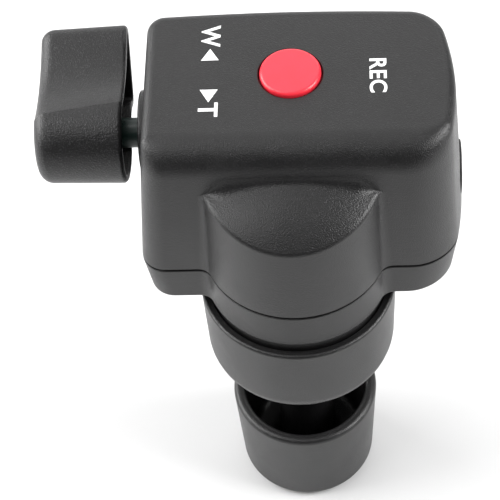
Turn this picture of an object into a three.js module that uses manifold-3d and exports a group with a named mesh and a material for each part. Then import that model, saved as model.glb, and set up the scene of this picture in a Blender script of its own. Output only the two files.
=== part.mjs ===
// Pan-bar zoom remote: a moulded housing with a spring-return thumb knob, a record
// button, a cable socket and a screw clamp under it. Millimetres, +Z up, X along the
// pan bar, Y from the front of the housing to its back. Every form is worked out in
// clamp coordinates (stud axis at X = Y = 0, foot of the clamp knob at Z = 0), and
// the finished group is then moved so that the origin lies on the pan bar's axis.

import * as THREE from 'three';
import * as BufferGeometryUtils from 'three/addons/utils/BufferGeometryUtils.js';
import Module from 'manifold-3d';

const wasm = await Module();
wasm.setup();

// Driving dimensions

// General fits
const fit = {
  seat: 0.3, // gap where one piece rests in or on another
  running: 0.4, // gap where one piece slides or turns in another
  touch: 0.05, // gap between flat faces that bear on each other
  cut: 0.6, // overrun of a cutting tool past the face it cuts
  merge: 0.00001, // points closer than this are one point
};

// Clamp knob: a cup, open at the top, with a long hub
const knob = {
  height: 25.8,
  rimRadius: 16.1,
  footRadius: 14.9,
  footRound: 2.6,
  wall: 2.6,
  floor: 6,
  hubRadius: 6.1,
  hubRoot: 2.4, // round between hub and floor
  hubStandout: 17.6, // hub above the rim
  lipRound: 1.2,
  edge: 0.5, // chamfer at the hub's top
  wellSpare: 2, // room under the stud's tip when the clamp is closed
};

// Clamp stud: a hexagon-headed bolt that hangs from the housing
const stud = {
  radius: 3,
  headAcross: 10,
  headHeight: 4,
  tipHeight: 22, // lower end above the knob's foot
  tipChamfer: 0.8,
};

// Threaded insert in the hub and the washer above it
const insert = { radius: 4.4, length: 11 };
const washer = { radius: 5.7, thick: 0.8 };

// Jaw: a cup under the boss with an arm that reaches back under the bar
const jaw = {
  height: 22.6,
  rimRadius: 20.4,
  lowRadius: 19.9,
  footRound: 5.6,
  lipRound: 0.7,
  guideDepth: 12.8, // depth of the guide pocket
  armHalfWidth: 14,
  armRear: 32.4, // back of the arm behind the stud axis
  armRise: 3.4, // underside of the arm above the cup's foot
  armRound: 5,
  closeTravel: 2, // how far the jaw can rise from its place here
};

// Pan bar seat: a vee in the jaw under a shallow vee in the housing
const bar = {
  behindStud: 19, // bar axis behind the stud axis
  axisHeight: 64.9, // bar axis above the knob's foot
  veeDepth: 10.8, // pad apex below the jaw's rim
  veeAngle: 45, // slope of each jaw face, degrees
  saddleAngle: 15, // slope of each saddle face, degrees
  saddleHalfWidth: 9.3,
  saddleDepth: 2.7, // saddle pad apex above the housing's underside
};
const pad = { thick: 1.2, length: 9, halfWidth: 13, fromApex: 4.2, proud: 0.35, saddleHalf: 8.6 };

// Housing: two moulded covers with a seam
const housing = {
  undersideGap: 2.5, // underside above the jaw's rim
  lowerHeight: 9.6,
  upperHeight: 34.5,
  seamGap: 0.35,
  wall: 2.2,
  leftAtSeam: 31.4,
  leftAtTop: 28.5,
  rightAtSeam: 33.7,
  rightAtTop: 31.7,
  frontAtSeam: 6.7,
  frontAtTop: 5,
  backAtSeam: 34,
  backAtTop: 32.8,
  footInset: 1.2, // how far the lower cover draws in at its foot
  rightBow: 2, // how far the right wall falls back at rightBowReach from its middle
  rightBowCentre: 11,
  rightBowReach: 19,
  backBow: 0.9,
  backBowReach: 30,
  frontLeftRound: 5,
  backLeftRound: 3.4,
  frontRightRound: 7.5,
  backRightRound: 5.5,
  leastRound: 0.8,
  frontTopRound: 6,
  sideTopRound: 2,
  footRound: 0.7,
  lipHeight: 1.8,
  lipThick: 1,
  lipStop: 5.6, // the lip ends this far from each screw's axis
};

// Boss: the round column in front of the housing, with a domed top
const boss = {
  radius: 19.1,
  rootRound: 3,
  domeRadius: 39.7,
  domeBehindStud: 4.6,
  domeRise: 28.8, // top of the dome above the seam
  guideRadius: 18.4,
  guideLength: 12.6, // guide spigot below the underside
  guideFlat: 4.5, // flat at the back of the guide, behind the stud axis
  studTower: 7.4,
};

// Record button in the top
const button = {
  x: 0.2,
  behindStud: 15.5,
  holeRadius: 6.3,
  gap: 0.25,
  proud: 0.9,
  edge: 0.7,
  skirt: 5.4,
  flangeRadius: 7.2,
  flangeThick: 1,
  stemRadius: 2.1,
  guideWall: 1.2,
};

// Zoom drive: thumb knob, shaft, bearing and spring return on the left
const zoom = {
  behindStud: 15.8,
  belowTop: 17.4,
  shaftRadius: 3.05,
  innerEnd: 33.7, // open end of the thumb knob, left of the stud axis
  width: 17.9,
  hubRadius: 10.2,
  tipReach: 21.6, // upper corner of the knob's tip, behind and above the shaft
  tipHeight: 10.25,
  heelReach: 16, // lower corner of the tip, behind and below the shaft
  heelDrop: 7.1,
  tipRound: 2.6,
  dishDepth: 2, // hollow of the upper side
  underDepth: 2.7, // hollow of the underside
  wall: 1.7,
  endWall: 2,
  endRound: 2.1,
  boreRadius: 5.4,
  hubRecess: 0.1,
  shaftInset: 4,
  collarRadius: 8.6,
  collarProud: 1,
  bearingRadius: 5,
  bearingFlange: 6.4,
  bearingFlangeThick: 1,
  bearingPad: 1.6, // extra wall behind the bearing
  camRadius: 4.4,
  camPlate: 1.2,
  fingerLow: 7,
  fingerHigh: 8.9,
  fingerHalfWidth: 1.2,
  postReach: 10.9,
  postRadius: 1.2,
  wire: 1,
  coilRadius: 5.6,
  coilTurns: 3,
  coilPitch: 1.5,
  legReach: 12,
  legSpread: 2,
};
const taperShare = 0.967; // outer end of the thumb knob against its inner end
const creaseInner = 91; // place of the upper crease on the hub, degrees
const creaseOuter = 106.5;
const underCreaseInner = 287;
const underCreaseOuter = 271.5;
const crestTurn = 108; // where the tip's rounds meet the hollows, degrees
const heelTurn = 250;

// Position sensor behind the shaft, on its own upright board
const sensor = {
  radius: 7.6,
  depth: 6,
  shaftDepth: 3,
  boardThick: 1.6,
  boardHalf: 10.5,
  boardBelow: 10.5,
  ribThick: 1.4,
  ribDepth: 3.6,
};

// Main board, switch and socket
const board = {
  left: 4.5,
  right: 22.6,
  front: 2,
  back: 27,
  thick: 1.6,
  aboveSeam: 10.5,
  postRadius: 2.6,
  postInset: 3.2,
  screwRadius: 1.1,
  screwHead: 2,
  screwHeadHeight: 1.2,
  screwLength: 5,
};
const tact = {
  half: 3,
  height: 3.4,
  wellDepth: 1.6,
  plungerRadius: 1.7,
  plungerHeight: 1,
  plungerInside: 0.5,
};
const socket = {
  behindStud: 14,
  belowBoard: 3.05,
  length: 11.5,
  halfWidth: 3,
  halfHeight: 3,
  neckRadius: 2.9,
  neckLength: 2.6,
  boreRadius: 1.35,
  boreDepth: 9.5,
  bezelRadius: 4.8,
  bezelProud: 1.1,
  bezelSunk: 0.7,
  entryRadius: 1.95,
};

// Screws that hold the two covers together
const screw = {
  left: 25.6,
  right: 27.4,
  front: 0.4,
  back: 27.6,
  shank: 1.4,
  length: 13,
  head: 2.5,
  headHeight: 1.9,
  driveRadius: 1,
  driveDepth: 1.1,
  sunk: 3.6, // depth of the counterbore in the lower cover
  postRadius: 3.1,
};

// Facets
const facets = { round: 48, column: 32, small: 20, tiny: 12, corner: 5, lip: 3, bow: 6, coil: 10 };

const degrees = (angle) => (angle * Math.PI) / 180;
const mix = (from, to, share) => from + (to - from) * share;

// Heights and places that follow from the sizes above

const cupFoot = knob.height + knob.hubStandout + washer.thick;
const hubTop = cupFoot - washer.thick - fit.seat;
const cupRim = cupFoot + jaw.height;
const underside = cupRim + housing.undersideGap;
const seam = underside + housing.lowerHeight;
const top = seam + housing.upperHeight;
const innerTop = top - housing.wall;
const saddleApex = underside + bar.saddleDepth;
const veeApex = cupRim - bar.veeDepth;
const headSeat = seam - stud.headHeight - fit.running;
const boardTop = seam + board.aboveSeam;
const socketHeight = boardTop - board.thick - socket.belowBoard;
const zoomHeight = top - zoom.belowTop;
const screwSeat = underside + screw.sunk;
const screwTip = screwSeat + screw.length;

// Places along X of the zoom drive, from the left wall inwards
const zoomWall = mix(housing.leftAtSeam, housing.leftAtTop, (zoomHeight - seam) / housing.upperHeight);
const collarFace = -zoomWall - zoom.collarProud;
const bearingSeat = collarFace + zoom.bearingFlangeThick + fit.seat;
const bearingEnd = -zoomWall + housing.wall + zoom.bearingPad;
const coilLength = zoom.coilTurns * zoom.coilPitch + zoom.wire;
const coilStart = bearingEnd + fit.running;
const camPlateStart = coilStart + coilLength + fit.seat;
const sensorFace = camPlateStart + zoom.camPlate + fit.running;
const sensorBack = sensorFace + sensor.depth;
const shaftEnd = sensorFace + sensor.shaftDepth;
const shaftTip = -zoom.innerEnd - zoom.width + zoom.shaftInset;

// Solids

// A closed geometry as a solid for joining and cutting
function solid(geometry) {
  const plain = geometry.clone();
  plain.deleteAttribute('normal');
  plain.deleteAttribute('uv');
  const merged = BufferGeometryUtils.mergeVertices(plain, fit.merge);
  const vertProperties = Float32Array.from(merged.attributes.position.array);
  const triVerts = Uint32Array.from(merged.index.array);
  return new wasm.Manifold(new wasm.Mesh({ numProp: 3, vertProperties, triVerts }));
}

// A solid back as a geometry for a mesh
function geometryOf(body) {
  const mesh = body.getMesh();
  const geometry = new THREE.BufferGeometry();
  geometry.setAttribute('position', new THREE.BufferAttribute(Float32Array.from(mesh.vertProperties), 3));
  geometry.setIndex(Array.from(mesh.triVerts));
  geometry.computeVertexNormals();
  return geometry;
}

// A solid of revolution about an upright axis; the profile holds [radius, height] pairs
function revolve(profile, segments, x = 0, y = 0) {
  const points = profile.map(([radius, height]) => new THREE.Vector2(radius, height));
  const geometry = new THREE.LatheGeometry(points, segments);
  geometry.rotateX(Math.PI / 2);
  geometry.translate(x, y, 0);
  return solid(geometry);
}

// A plain upright cylinder between two heights
function column(radius, low, high, segments = facets.small, x = 0, y = 0) {
  return revolve([[0, low], [radius, low], [radius, high], [0, high]], segments, x, y);
}

// The same forms about an axis along X; heights are then places along X
function alongX(body, y, z) {
  const turned = geometryOf(body);
  turned.rotateY(Math.PI / 2);
  turned.translate(0, y, z);
  return solid(turned);
}

// A box between two corners
function block(x0, x1, y0, y1, z0, z1) {
  const geometry = new THREE.BoxGeometry(x1 - x0, y1 - y0, z1 - z0);
  geometry.translate((x0 + x1) / 2, (y0 + y1) / 2, (z0 + z1) / 2);
  return solid(geometry);
}

// An outline in the YZ plane drawn out along X
function prismX(outline, x0, x1) {
  const shape = new THREE.Shape(outline.map(([y, z]) => new THREE.Vector2(y, z)));
  const geometry = new THREE.ExtrudeGeometry(shape, { depth: x1 - x0, bevelEnabled: false });
  geometry.rotateX(Math.PI / 2);
  geometry.rotateZ(Math.PI / 2);
  geometry.translate(x0, 0, 0);
  return solid(geometry);
}

// A shape in the XY plane drawn up between two heights
function prismZ(shape, low, high, curveSegments = facets.corner) {
  const options = { depth: high - low, bevelEnabled: false, curveSegments };
  const geometry = new THREE.ExtrudeGeometry(shape, options);
  geometry.translate(0, 0, low);
  return solid(geometry);
}

// A hexagonal prism by its width across flats
function hexagon(across, low, high) {
  const geometry = new THREE.CylinderGeometry(1, 1, 1, 6);
  geometry.rotateX(Math.PI / 2);
  const corner = across / 2 / Math.cos(Math.PI / 6);
  geometry.scale(corner, corner, high - low);
  geometry.translate(0, 0, (low + high) / 2);
  return solid(geometry);
}

// A skin through a stack of closed rings of equally many points, closed at both ends
function loft(rings) {
  const count = rings[0].length;
  const positions = rings.flat(2);
  const index = [];
  for (let level = 0; level < rings.length - 1; level += 1) {
    for (let i = 0; i < count; i += 1) {
      const j = (i + 1) % count;
      const a = level * count + i;
      const b = level * count + j;
      index.push(a, b, b + count, a, b + count, a + count);
    }
  }
  const alike = (axis) => rings[0].every((point) => point[axis] === rings[0][0][axis]);
  const [u, v] = alike(0) ? [1, 2] : [0, 1];
  const endFaces = (ring) =>
    THREE.ShapeUtils.triangulateShape(ring.map((point) => new THREE.Vector2(point[u], point[v])), []);
  const last = (rings.length - 1) * count;
  endFaces(rings[0]).forEach(([a, b, c]) => index.push(c, b, a));
  endFaces(rings[rings.length - 1]).forEach(([a, b, c]) => index.push(last + a, last + b, last + c));
  const geometry = new THREE.BufferGeometry();
  geometry.setAttribute('position', new THREE.BufferAttribute(Float32Array.from(positions), 3));
  geometry.setIndex(index);
  return solid(geometry);
}

const join = (first, ...others) => others.reduce((body, other) => body.add(other), first);
const cut = (first, ...others) => others.reduce((body, other) => body.subtract(other), first);

// Housing form

// How far the walls stand from the stud axis at a height
function wallsAt(z) {
  const rise = Math.max(0, Math.min(1, (z - seam) / housing.upperHeight));
  const drop = Math.max(0, Math.min(1, (seam - z) / housing.lowerHeight));
  const inset = housing.footInset * drop;
  return {
    left: mix(housing.leftAtSeam, housing.leftAtTop, rise) - inset,
    right: mix(housing.rightAtSeam, housing.rightAtTop, rise) - inset,
    front: mix(housing.frontAtSeam, housing.frontAtTop, rise) - inset / 4,
    back: mix(housing.backAtSeam, housing.backAtTop, rise) - inset,
  };
}

// One closed ring round the housing at a height, drawn in by an inset on each side;
// its right and back walls bow outwards
function housingRing(z, sideInset, frontInset) {
  const walls = wallsAt(z);
  const left = sideInset - walls.left;
  const right = walls.right - sideInset;
  const front = frontInset - walls.front;
  const back = walls.back - sideInset;
  const round = (radius, inset) => Math.max(radius - inset, housing.leastRound);
  const corners = [
    { x: left, y: front, sx: 1, sy: 1, radius: housing.frontLeftRound, inset: frontInset },
    { x: right, y: front, sx: -1, sy: 1, radius: housing.frontRightRound, inset: frontInset },
    { x: right, y: back, sx: -1, sy: -1, radius: housing.backRightRound, inset: sideInset },
    { x: left, y: back, sx: 1, sy: -1, radius: housing.backLeftRound, inset: sideInset },
  ];
  const points = [];
  corners.forEach(({ x, y, sx, sy, radius, inset }, number) => {
    const rx = round(radius, sideInset);
    const ry = round(radius, inset);
    for (let i = 0; i <= facets.corner; i += 1) {
      const angle = degrees(180 + 90 * (number + i / facets.corner));
      points.push([x + sx * rx + rx * Math.cos(angle), y + sy * ry + ry * Math.sin(angle)]);
    }
  });
  const across = facets.corner + 1;
  const between = (from, to) => {
    const found = [];
    for (let i = 1; i < facets.bow; i += 1) {
      found.push([0, 1].map((k) => mix(points[from][k], points[to][k], i / facets.bow)));
    }
    return found;
  };
  const ring = [
    ...points.slice(0, 2 * across),
    ...between(2 * across - 1, 2 * across),
    ...points.slice(2 * across, 3 * across),
    ...between(3 * across - 1, 3 * across),
    ...points.slice(3 * across),
  ];
  const middle = (front + back) / 2;
  return ring.map(([x, y]) => [
    x > 0 ? x - housing.rightBow * ((y - housing.rightBowCentre) / housing.rightBowReach) ** 2 : x,
    y > middle ? y - housing.backBow * (x / housing.backBowReach) ** 2 : y,
    z,
  ]);
}

// The upper cover's form between a height and its top, drawn in all round by an inset
function upperForm(low, inset) {
  const crown = top - inset;
  const frontRound = housing.frontTopRound - inset;
  const sideRound = Math.max(housing.sideTopRound - inset, housing.leastRound);
  const steps = facets.corner + 2;
  const levels = [low];
  for (let i = 0; i <= steps; i += 1) {
    levels.push(crown - frontRound * (1 - Math.sin(degrees((90 * i) / steps))));
  }
  const rings = levels.map((z) => {
    const frontRise = Math.max(0, (z - crown + frontRound) / frontRound);
    const sideRise = Math.max(0, (z - crown + sideRound) / sideRound);
    const drawFront = frontRound * (1 - Math.sqrt(Math.max(0, 1 - frontRise ** 2)));
    const drawSide = sideRound * (1 - Math.sqrt(Math.max(0, 1 - sideRise ** 2)));
    return housingRing(z, inset + drawSide, inset + drawFront);
  });
  return loft(rings);
}

// The lower cover's form up to a height; its foot is rounded
function lowerForm(high, inset) {
  const foot = underside + inset;
  const round = Math.max(housing.footRound - inset, housing.leastRound);
  const levels = [];
  for (let i = 0; i <= facets.lip; i += 1) {
    levels.push(foot + round * (1 - Math.cos(degrees((90 * i) / facets.lip))));
  }
  levels.push(high);
  const rings = levels.map((z) => {
    const rise = Math.max(0, (foot + round - z) / round);
    const draw = round * (1 - Math.sqrt(Math.max(0, 1 - rise ** 2)));
    return housingRing(z, inset + draw, inset + draw);
  });
  return loft(rings);
}

// The boss with its root rounds at a height, for a radius and a wall position
function bossRing(z, inset, backTo) {
  const radius = boss.radius - inset;
  const front = wallsAt(z).front - inset;
  const round = boss.rootRound + inset;
  const rootX = Math.sqrt((radius + round) ** 2 - (front + round) ** 2);
  const meet = Math.atan2(front + round, rootX);
  const ring = [];
  const rootSteps = facets.corner - 1;
  for (let i = 0; i <= rootSteps; i += 1) {
    const angle = mix(degrees(90), meet, i / rootSteps);
    ring.push([-rootX + round * Math.cos(angle), -(front + round) + round * Math.sin(angle), z]);
  }
  const frontSteps = facets.column;
  for (let i = 1; i < frontSteps; i += 1) {
    const angle = mix(Math.PI + meet, 2 * Math.PI - meet, i / frontSteps);
    ring.push([radius * Math.cos(angle), radius * Math.sin(angle), z]);
  }
  for (let i = 0; i <= rootSteps; i += 1) {
    const angle = mix(Math.PI - meet, degrees(90), i / rootSteps);
    ring.push([rootX + round * Math.cos(angle), -(front + round) + round * Math.sin(angle), z]);
  }
  ring.push([rootX, backTo, z], [-rootX, backTo, z]);
  return ring;
}

function bossForm(low, high, inset) {
  const backTo = fit.cut;
  const levels = low < seam && high > seam ? [low, seam, high] : [low, high];
  return loft(levels.map((z) => bossRing(z, inset, backTo)));
}

// What lies under the dome, as a body of revolution behind the stud axis
function domeForm(low, inset) {
  const radius = boss.domeRadius - inset;
  const centre = seam + boss.domeRise - boss.domeRadius;
  const reach = boss.radius + 2 * boss.domeBehindStud;
  const widest = Math.asin(reach / radius);
  const steps = 2 * facets.corner;
  const profile = [[0, low], [reach, low]];
  for (let i = 0; i <= steps; i += 1) {
    const angle = widest * (1 - i / steps);
    const across = i === steps ? 0 : radius * Math.sin(angle);
    profile.push([across, centre + radius * Math.cos(angle)]);
  }
  return revolve(profile, facets.round, 0, boss.domeBehindStud);
}

// Places of the four housing screws
const screwPlaces = [
  [-screw.left, screw.front],
  [screw.right, screw.front],
  [-screw.left, screw.back],
  [screw.right, screw.back],
];

// Places of the two board screws
const boardPlaces = [
  [-board.left + board.postInset, board.back - board.postInset],
  [board.right - board.postInset, board.front + board.postInset],
];

// A D shape about the stud axis: a circle with its back cut flat
function guideShape(radius, flat) {
  const half = Math.sqrt(radius ** 2 - flat ** 2);
  const start = Math.atan2(flat, -half);
  const end = Math.atan2(flat, half) + 2 * Math.PI;
  const steps = facets.column;
  const shape = new THREE.Shape();
  for (let i = 0; i <= steps; i += 1) {
    const angle = mix(start, end, i / steps);
    const x = radius * Math.cos(angle);
    const y = radius * Math.sin(angle);
    if (i === 0) shape.moveTo(x, y);
    else shape.lineTo(x, y);
  }
  shape.closePath();
  return shape;
}

// A shallow vee cut up into the underside, drawn along X
function saddleCut(apex, halfWidth, halfLength) {
  const low = underside - fit.cut;
  const edge = apex - halfWidth * Math.tan(degrees(bar.saddleAngle));
  const outline = [
    [bar.behindStud - halfWidth, low],
    [bar.behindStud + halfWidth, low],
    [bar.behindStud + halfWidth, edge],
    [bar.behindStud, apex],
    [bar.behindStud - halfWidth, edge],
  ];
  return prismX(outline, -halfLength, halfLength);
}

// Upper cover

function makeUpperCover() {
  const low = seam + housing.seamGap / 2;
  const wall = housing.wall;
  const outer = join(upperForm(low, 0), bossForm(low, top, 0).intersect(domeForm(low, 0)));
  const start = low - fit.cut;
  const innerBoss = bossForm(start, innerTop, wall).intersect(domeForm(start, wall));
  const inner = join(upperForm(start, wall), innerBoss);

  const hang = innerTop + fit.seat;
  const posts = screwPlaces.map(([x, y]) => column(screw.postRadius, low, hang, facets.tiny, x, y));
  const boardPosts = boardPlaces.map(([x, y]) =>
    column(board.postRadius, boardTop + fit.touch, hang, facets.tiny, x, y));
  const wellRadius = button.flangeRadius + fit.running;
  const guideLow = top - button.skirt - button.flangeThick;
  const guide = column(wellRadius + button.guideWall, guideLow, hang, facets.column,
    button.x, button.behindStud);
  const collar = shaftRound(zoom.collarRadius, collarFace, bearingEnd, facets.column);
  const postRoot = fit.cut - wallsAt(zoomHeight + zoom.postReach).left;
  const springPost = alongX(column(zoom.postRadius, postRoot, camPlateStart, facets.tiny),
    zoom.behindStud, zoomHeight + zoom.postReach);
  const ribTop = innerTop + fit.seat;
  const ribs = [
    sensorBack - sensor.ribThick - fit.seat,
    sensorBack + sensor.boardThick + fit.seat,
  ].map((x) => block(x, x + sensor.ribThick, zoom.behindStud - sensor.boardHalf,
    zoom.behindStud + sensor.boardHalf, innerTop - sensor.ribDepth, ribTop));
  const body = join(cut(outer, inner), ...posts, ...boardPosts, guide, collar, springPost, ...ribs);

  const pilots = screwPlaces.map(([x, y]) =>
    column(screw.shank + fit.seat, start, screwTip + fit.seat, facets.tiny, x, y));
  const boardPilots = boardPlaces.map(([x, y]) =>
    column(board.screwRadius + fit.seat, boardTop, boardTop + board.screwLength, facets.tiny, x, y));
  const hole = column(button.holeRadius, guideLow, top + fit.cut, facets.round,
    button.x, button.behindStud);
  const well = column(wellRadius, guideLow - fit.cut, innerTop, facets.column,
    button.x, button.behindStud);
  const bearingHole = shaftRound(zoom.bearingRadius + fit.seat, collarFace - fit.cut, bearingEnd + fit.cut,
    facets.column);
  const bearingWell = shaftRound(zoom.bearingFlange + fit.seat, collarFace - fit.cut, bearingSeat,
    facets.column);
  const right = wallsAt(socketHeight).right;
  const neckHole = alongX(
    column(socket.neckRadius + fit.seat, right - 2 * wall, right + fit.cut, facets.small),
    socket.behindStud, socketHeight);
  const bezelSeat = alongX(
    column(socket.bezelRadius + fit.seat, right - socket.bezelSunk, right + wall, facets.column),
    socket.behindStud, socketHeight);
  return cut(body, ...pilots, ...boardPilots, hole, well, bearingHole, bearingWell, neckHole, bezelSeat);
}

// A cylinder on the zoom shaft's axis between two places along X
function shaftRound(radius, from, to, segments = facets.small) {
  return alongX(column(radius, from, to, segments), zoom.behindStud, zoomHeight);
}

// Lower cover

function makeLowerCover() {
  const high = seam - housing.seamGap / 2;
  const wall = housing.wall;
  const floor = underside + wall;
  const guideLow = underside - boss.guideLength;
  const guide = prismZ(guideShape(boss.guideRadius, boss.guideFlat), guideLow, floor);
  const outer = join(lowerForm(high, 0), bossForm(underside, high, 0), guide);

  const over = high + fit.cut;
  const guideInner = guideShape(boss.guideRadius - wall, boss.guideFlat - wall);
  const hollow = join(
    lowerForm(over, wall),
    bossForm(floor, over, wall),
    prismZ(guideInner, guideLow + wall, over),
  );
  const saddleTop = saddleApex + pad.thick + fit.seat + wall;
  const reach = bar.saddleHalfWidth + wall;
  const wide = housing.leftAtSeam + housing.rightAtSeam;
  const keep = [
    block(-wide, wide, bar.behindStud - reach, bar.behindStud + reach, underside, saddleTop),
    column(boss.studTower, guideLow, headSeat + stud.headHeight, facets.column),
    ...screwPlaces.map(([x, y]) => column(screw.postRadius + fit.cut, underside, high, facets.small, x, y)),
  ];
  const shell = cut(outer, cut(hollow, ...keep));

  // The lip stands inside the upper cover's wall and stops at its screw posts
  const lipLow = high - housing.lipHeight;
  const lipHigh = high + housing.lipHeight;
  const ringBody = (inset, from, to) => loft([from, to].map((z) => housingRing(z, inset, inset)));
  const lipInset = wall + fit.seat;
  const lip = cut(
    join(ringBody(lipInset, lipLow, lipHigh), ringBody(wall - fit.seat, lipLow, high - fit.touch)),
    ringBody(lipInset + housing.lipThick, lipLow - fit.cut, lipHigh + fit.cut),
    bossForm(lipLow - fit.cut, lipHigh + fit.cut, wall + fit.seat),
    ...screwPlaces.map(([x, y]) =>
      column(housing.lipStop, lipLow - fit.cut, lipHigh + fit.cut, facets.small, x, y)),
  );

  const saddle = saddleCut(saddleApex + pad.proud, bar.saddleHalfWidth, wide);
  const pocket = saddleCut(saddleApex + pad.thick + fit.seat, pad.saddleHalf + fit.seat,
    pad.halfWidth + fit.seat);
  const studHole = column(stud.radius + fit.seat, guideLow - fit.cut, seam, facets.small);
  const headPocket = hexagon(stud.headAcross + 2 * fit.seat, headSeat, seam + fit.cut);
  const shankHoles = screwPlaces.map(([x, y]) =>
    column(screw.shank + fit.seat, underside - fit.cut, over, facets.tiny, x, y));
  const counterbores = screwPlaces.map(([x, y]) =>
    column(screw.head + fit.seat, underside - fit.cut, screwSeat, facets.small, x, y));
  return cut(join(shell, lip), saddle, pocket, studHole, headPocket, ...shankHoles, ...counterbores);
}

// Rubber strip in the housing's vee
function makeSaddlePad() {
  const edge = saddleApex - pad.saddleHalf * Math.tan(degrees(bar.saddleAngle));
  const outline = [
    [bar.behindStud - pad.saddleHalf, edge],
    [bar.behindStud, saddleApex],
    [bar.behindStud + pad.saddleHalf, edge],
    [bar.behindStud + pad.saddleHalf, edge + pad.thick],
    [bar.behindStud, saddleApex + pad.thick],
    [bar.behindStud - pad.saddleHalf, edge + pad.thick],
  ];
  return prismX(outline, -pad.halfWidth, pad.halfWidth);
}

// Screws: a round head with a socket, and a plain shank, pointing up

function makeScrew(x, y, seatHeight, sizes) {
  const { shank, length, head, headHeight, driveRadius, driveDepth } = sizes;
  const headTop = seatHeight - fit.touch;
  const headLow = headTop - headHeight;
  const profile = [
    [0, headLow + driveDepth],
    [driveRadius, headLow + driveDepth],
    [driveRadius, headLow],
    [head, headLow],
    [head, headTop],
    [shank, headTop],
    [shank, headTop + length - shank],
    [0, headTop + length],
  ];
  return revolve(profile, facets.tiny, x, y);
}

// Clamp stud

function makeStud() {
  const shank = revolve([
    [0, stud.tipHeight],
    [stud.radius - stud.tipChamfer, stud.tipHeight],
    [stud.radius, stud.tipHeight + stud.tipChamfer],
    [stud.radius, headSeat + stud.headHeight / 2],
    [0, headSeat + stud.headHeight / 2],
  ], facets.small);
  const head = hexagon(stud.headAcross, headSeat + fit.touch, headSeat + fit.touch + stud.headHeight);
  return join(shank, head);
}

// Jaw

// Points of an arc as [across, up] pairs
function arc(across, up, radius, from, to, steps = facets.corner) {
  const points = [];
  for (let i = 0; i <= steps; i += 1) {
    const angle = degrees(mix(from, to, i / steps));
    points.push([across + radius * Math.cos(angle), up + radius * Math.sin(angle)]);
  }
  return points;
}

// A rectangle on one face of the vee: along the slope from its apex, and into the face
function onSlope(side, alongFrom, alongTo, intoFrom, intoTo) {
  const cos = Math.cos(degrees(bar.veeAngle));
  const sin = Math.sin(degrees(bar.veeAngle));
  const place = (along, into) => [
    bar.behindStud + side * (cos * along + sin * into),
    veeApex + sin * along - cos * into,
  ];
  const corners = [
    place(alongFrom, intoFrom),
    place(alongTo, intoFrom),
    place(alongTo, intoTo),
    place(alongFrom, intoTo),
  ];
  return side > 0 ? corners.reverse() : corners;
}

const sides = { front: -1, rear: 1 };

function makeJaw() {
  const cup = revolve([
    [0, cupFoot],
    ...arc(jaw.lowRadius - jaw.footRound, cupFoot + jaw.footRound, jaw.footRound, -90, 0),
    ...arc(jaw.rimRadius - jaw.lipRound, cupRim - jaw.lipRound, jaw.lipRound, 0, 90, facets.lip),
    [0, cupRim],
  ], facets.round);
  const armLow = cupFoot + jaw.armRise;
  const armOutline = [
    [0, armLow],
    ...arc(jaw.armRear - jaw.armRound, armLow + jaw.armRound, jaw.armRound, -90, 0),
    ...arc(jaw.armRear - jaw.lipRound, cupRim - jaw.lipRound, jaw.lipRound, 0, 90, facets.lip),
    [0, cupRim],
  ];
  const arm = prismX(armOutline, -jaw.armHalfWidth, jaw.armHalfWidth);

  const pocket = prismZ(guideShape(boss.guideRadius + fit.running, boss.guideFlat + fit.running),
    cupRim - jaw.guideDepth, cupRim + fit.cut);
  const setBack = pad.proud / Math.cos(degrees(bar.veeAngle));
  const rise = cupRim + fit.cut - veeApex + setBack;
  const run = rise / Math.tan(degrees(bar.veeAngle));
  const vee = prismX([
    [bar.behindStud, veeApex - setBack],
    [bar.behindStud + run, veeApex - setBack + rise],
    [bar.behindStud - run, veeApex - setBack + rise],
  ], -jaw.rimRadius - fit.cut, jaw.rimRadius + fit.cut);
  const from = pad.fromApex - fit.seat;
  const to = pad.fromApex + pad.length + fit.seat;
  const padPockets = Object.values(sides).map((side) =>
    prismX(onSlope(side, from, to, -fit.cut, pad.thick + fit.seat),
      -pad.halfWidth - fit.seat, pad.halfWidth + fit.seat));
  const studHole = column(stud.radius + fit.running, cupFoot - fit.cut, cupRim, facets.small);
  return cut(join(cup, arm), pocket, vee, ...padPockets, studHole);
}

function makeJawPad(side) {
  const outline = onSlope(side, pad.fromApex, pad.fromApex + pad.length, 0, pad.thick);
  return prismX(outline, -pad.halfWidth, pad.halfWidth);
}

// Clamp knob, its insert and the washer above it

function makeClampKnob() {
  const lip = knob.lipRound;
  const innerFoot = knob.footRadius - knob.wall;
  const wellFoot = stud.tipHeight - jaw.closeTravel - knob.wellSpare;
  const pocketFoot = hubTop - insert.length - fit.seat;
  return revolve([
    [0, 0],
    ...arc(knob.footRadius - knob.footRound, knob.footRound, knob.footRound, -90, 0, facets.lip),
    ...arc(knob.rimRadius - lip, knob.height - lip, lip, 0, 90, facets.lip),
    ...arc(knob.rimRadius - knob.wall + lip, knob.height - lip, lip, 90, 180, facets.lip),
    ...arc(innerFoot - knob.hubRoot, knob.floor + knob.hubRoot, knob.hubRoot, 0, -90, facets.lip),
    ...arc(knob.hubRadius + knob.hubRoot, knob.floor + knob.hubRoot, knob.hubRoot, 270, 180, facets.lip),
    [knob.hubRadius, hubTop - knob.edge],
    [knob.hubRadius - knob.edge, hubTop],
    [insert.radius + fit.seat, hubTop],
    [insert.radius + fit.seat, pocketFoot],
    [stud.radius + fit.running, pocketFoot],
    [stud.radius + fit.running, wellFoot],
    [0, wellFoot],
  ], facets.round);
}

// A plain ring between two radii and two heights
function ring(outer, inner, low, high, segments = facets.small) {
  return revolve([[inner, low], [outer, low], [outer, high], [inner, high], [inner, low]], segments);
}

// Record button and its switch

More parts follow.
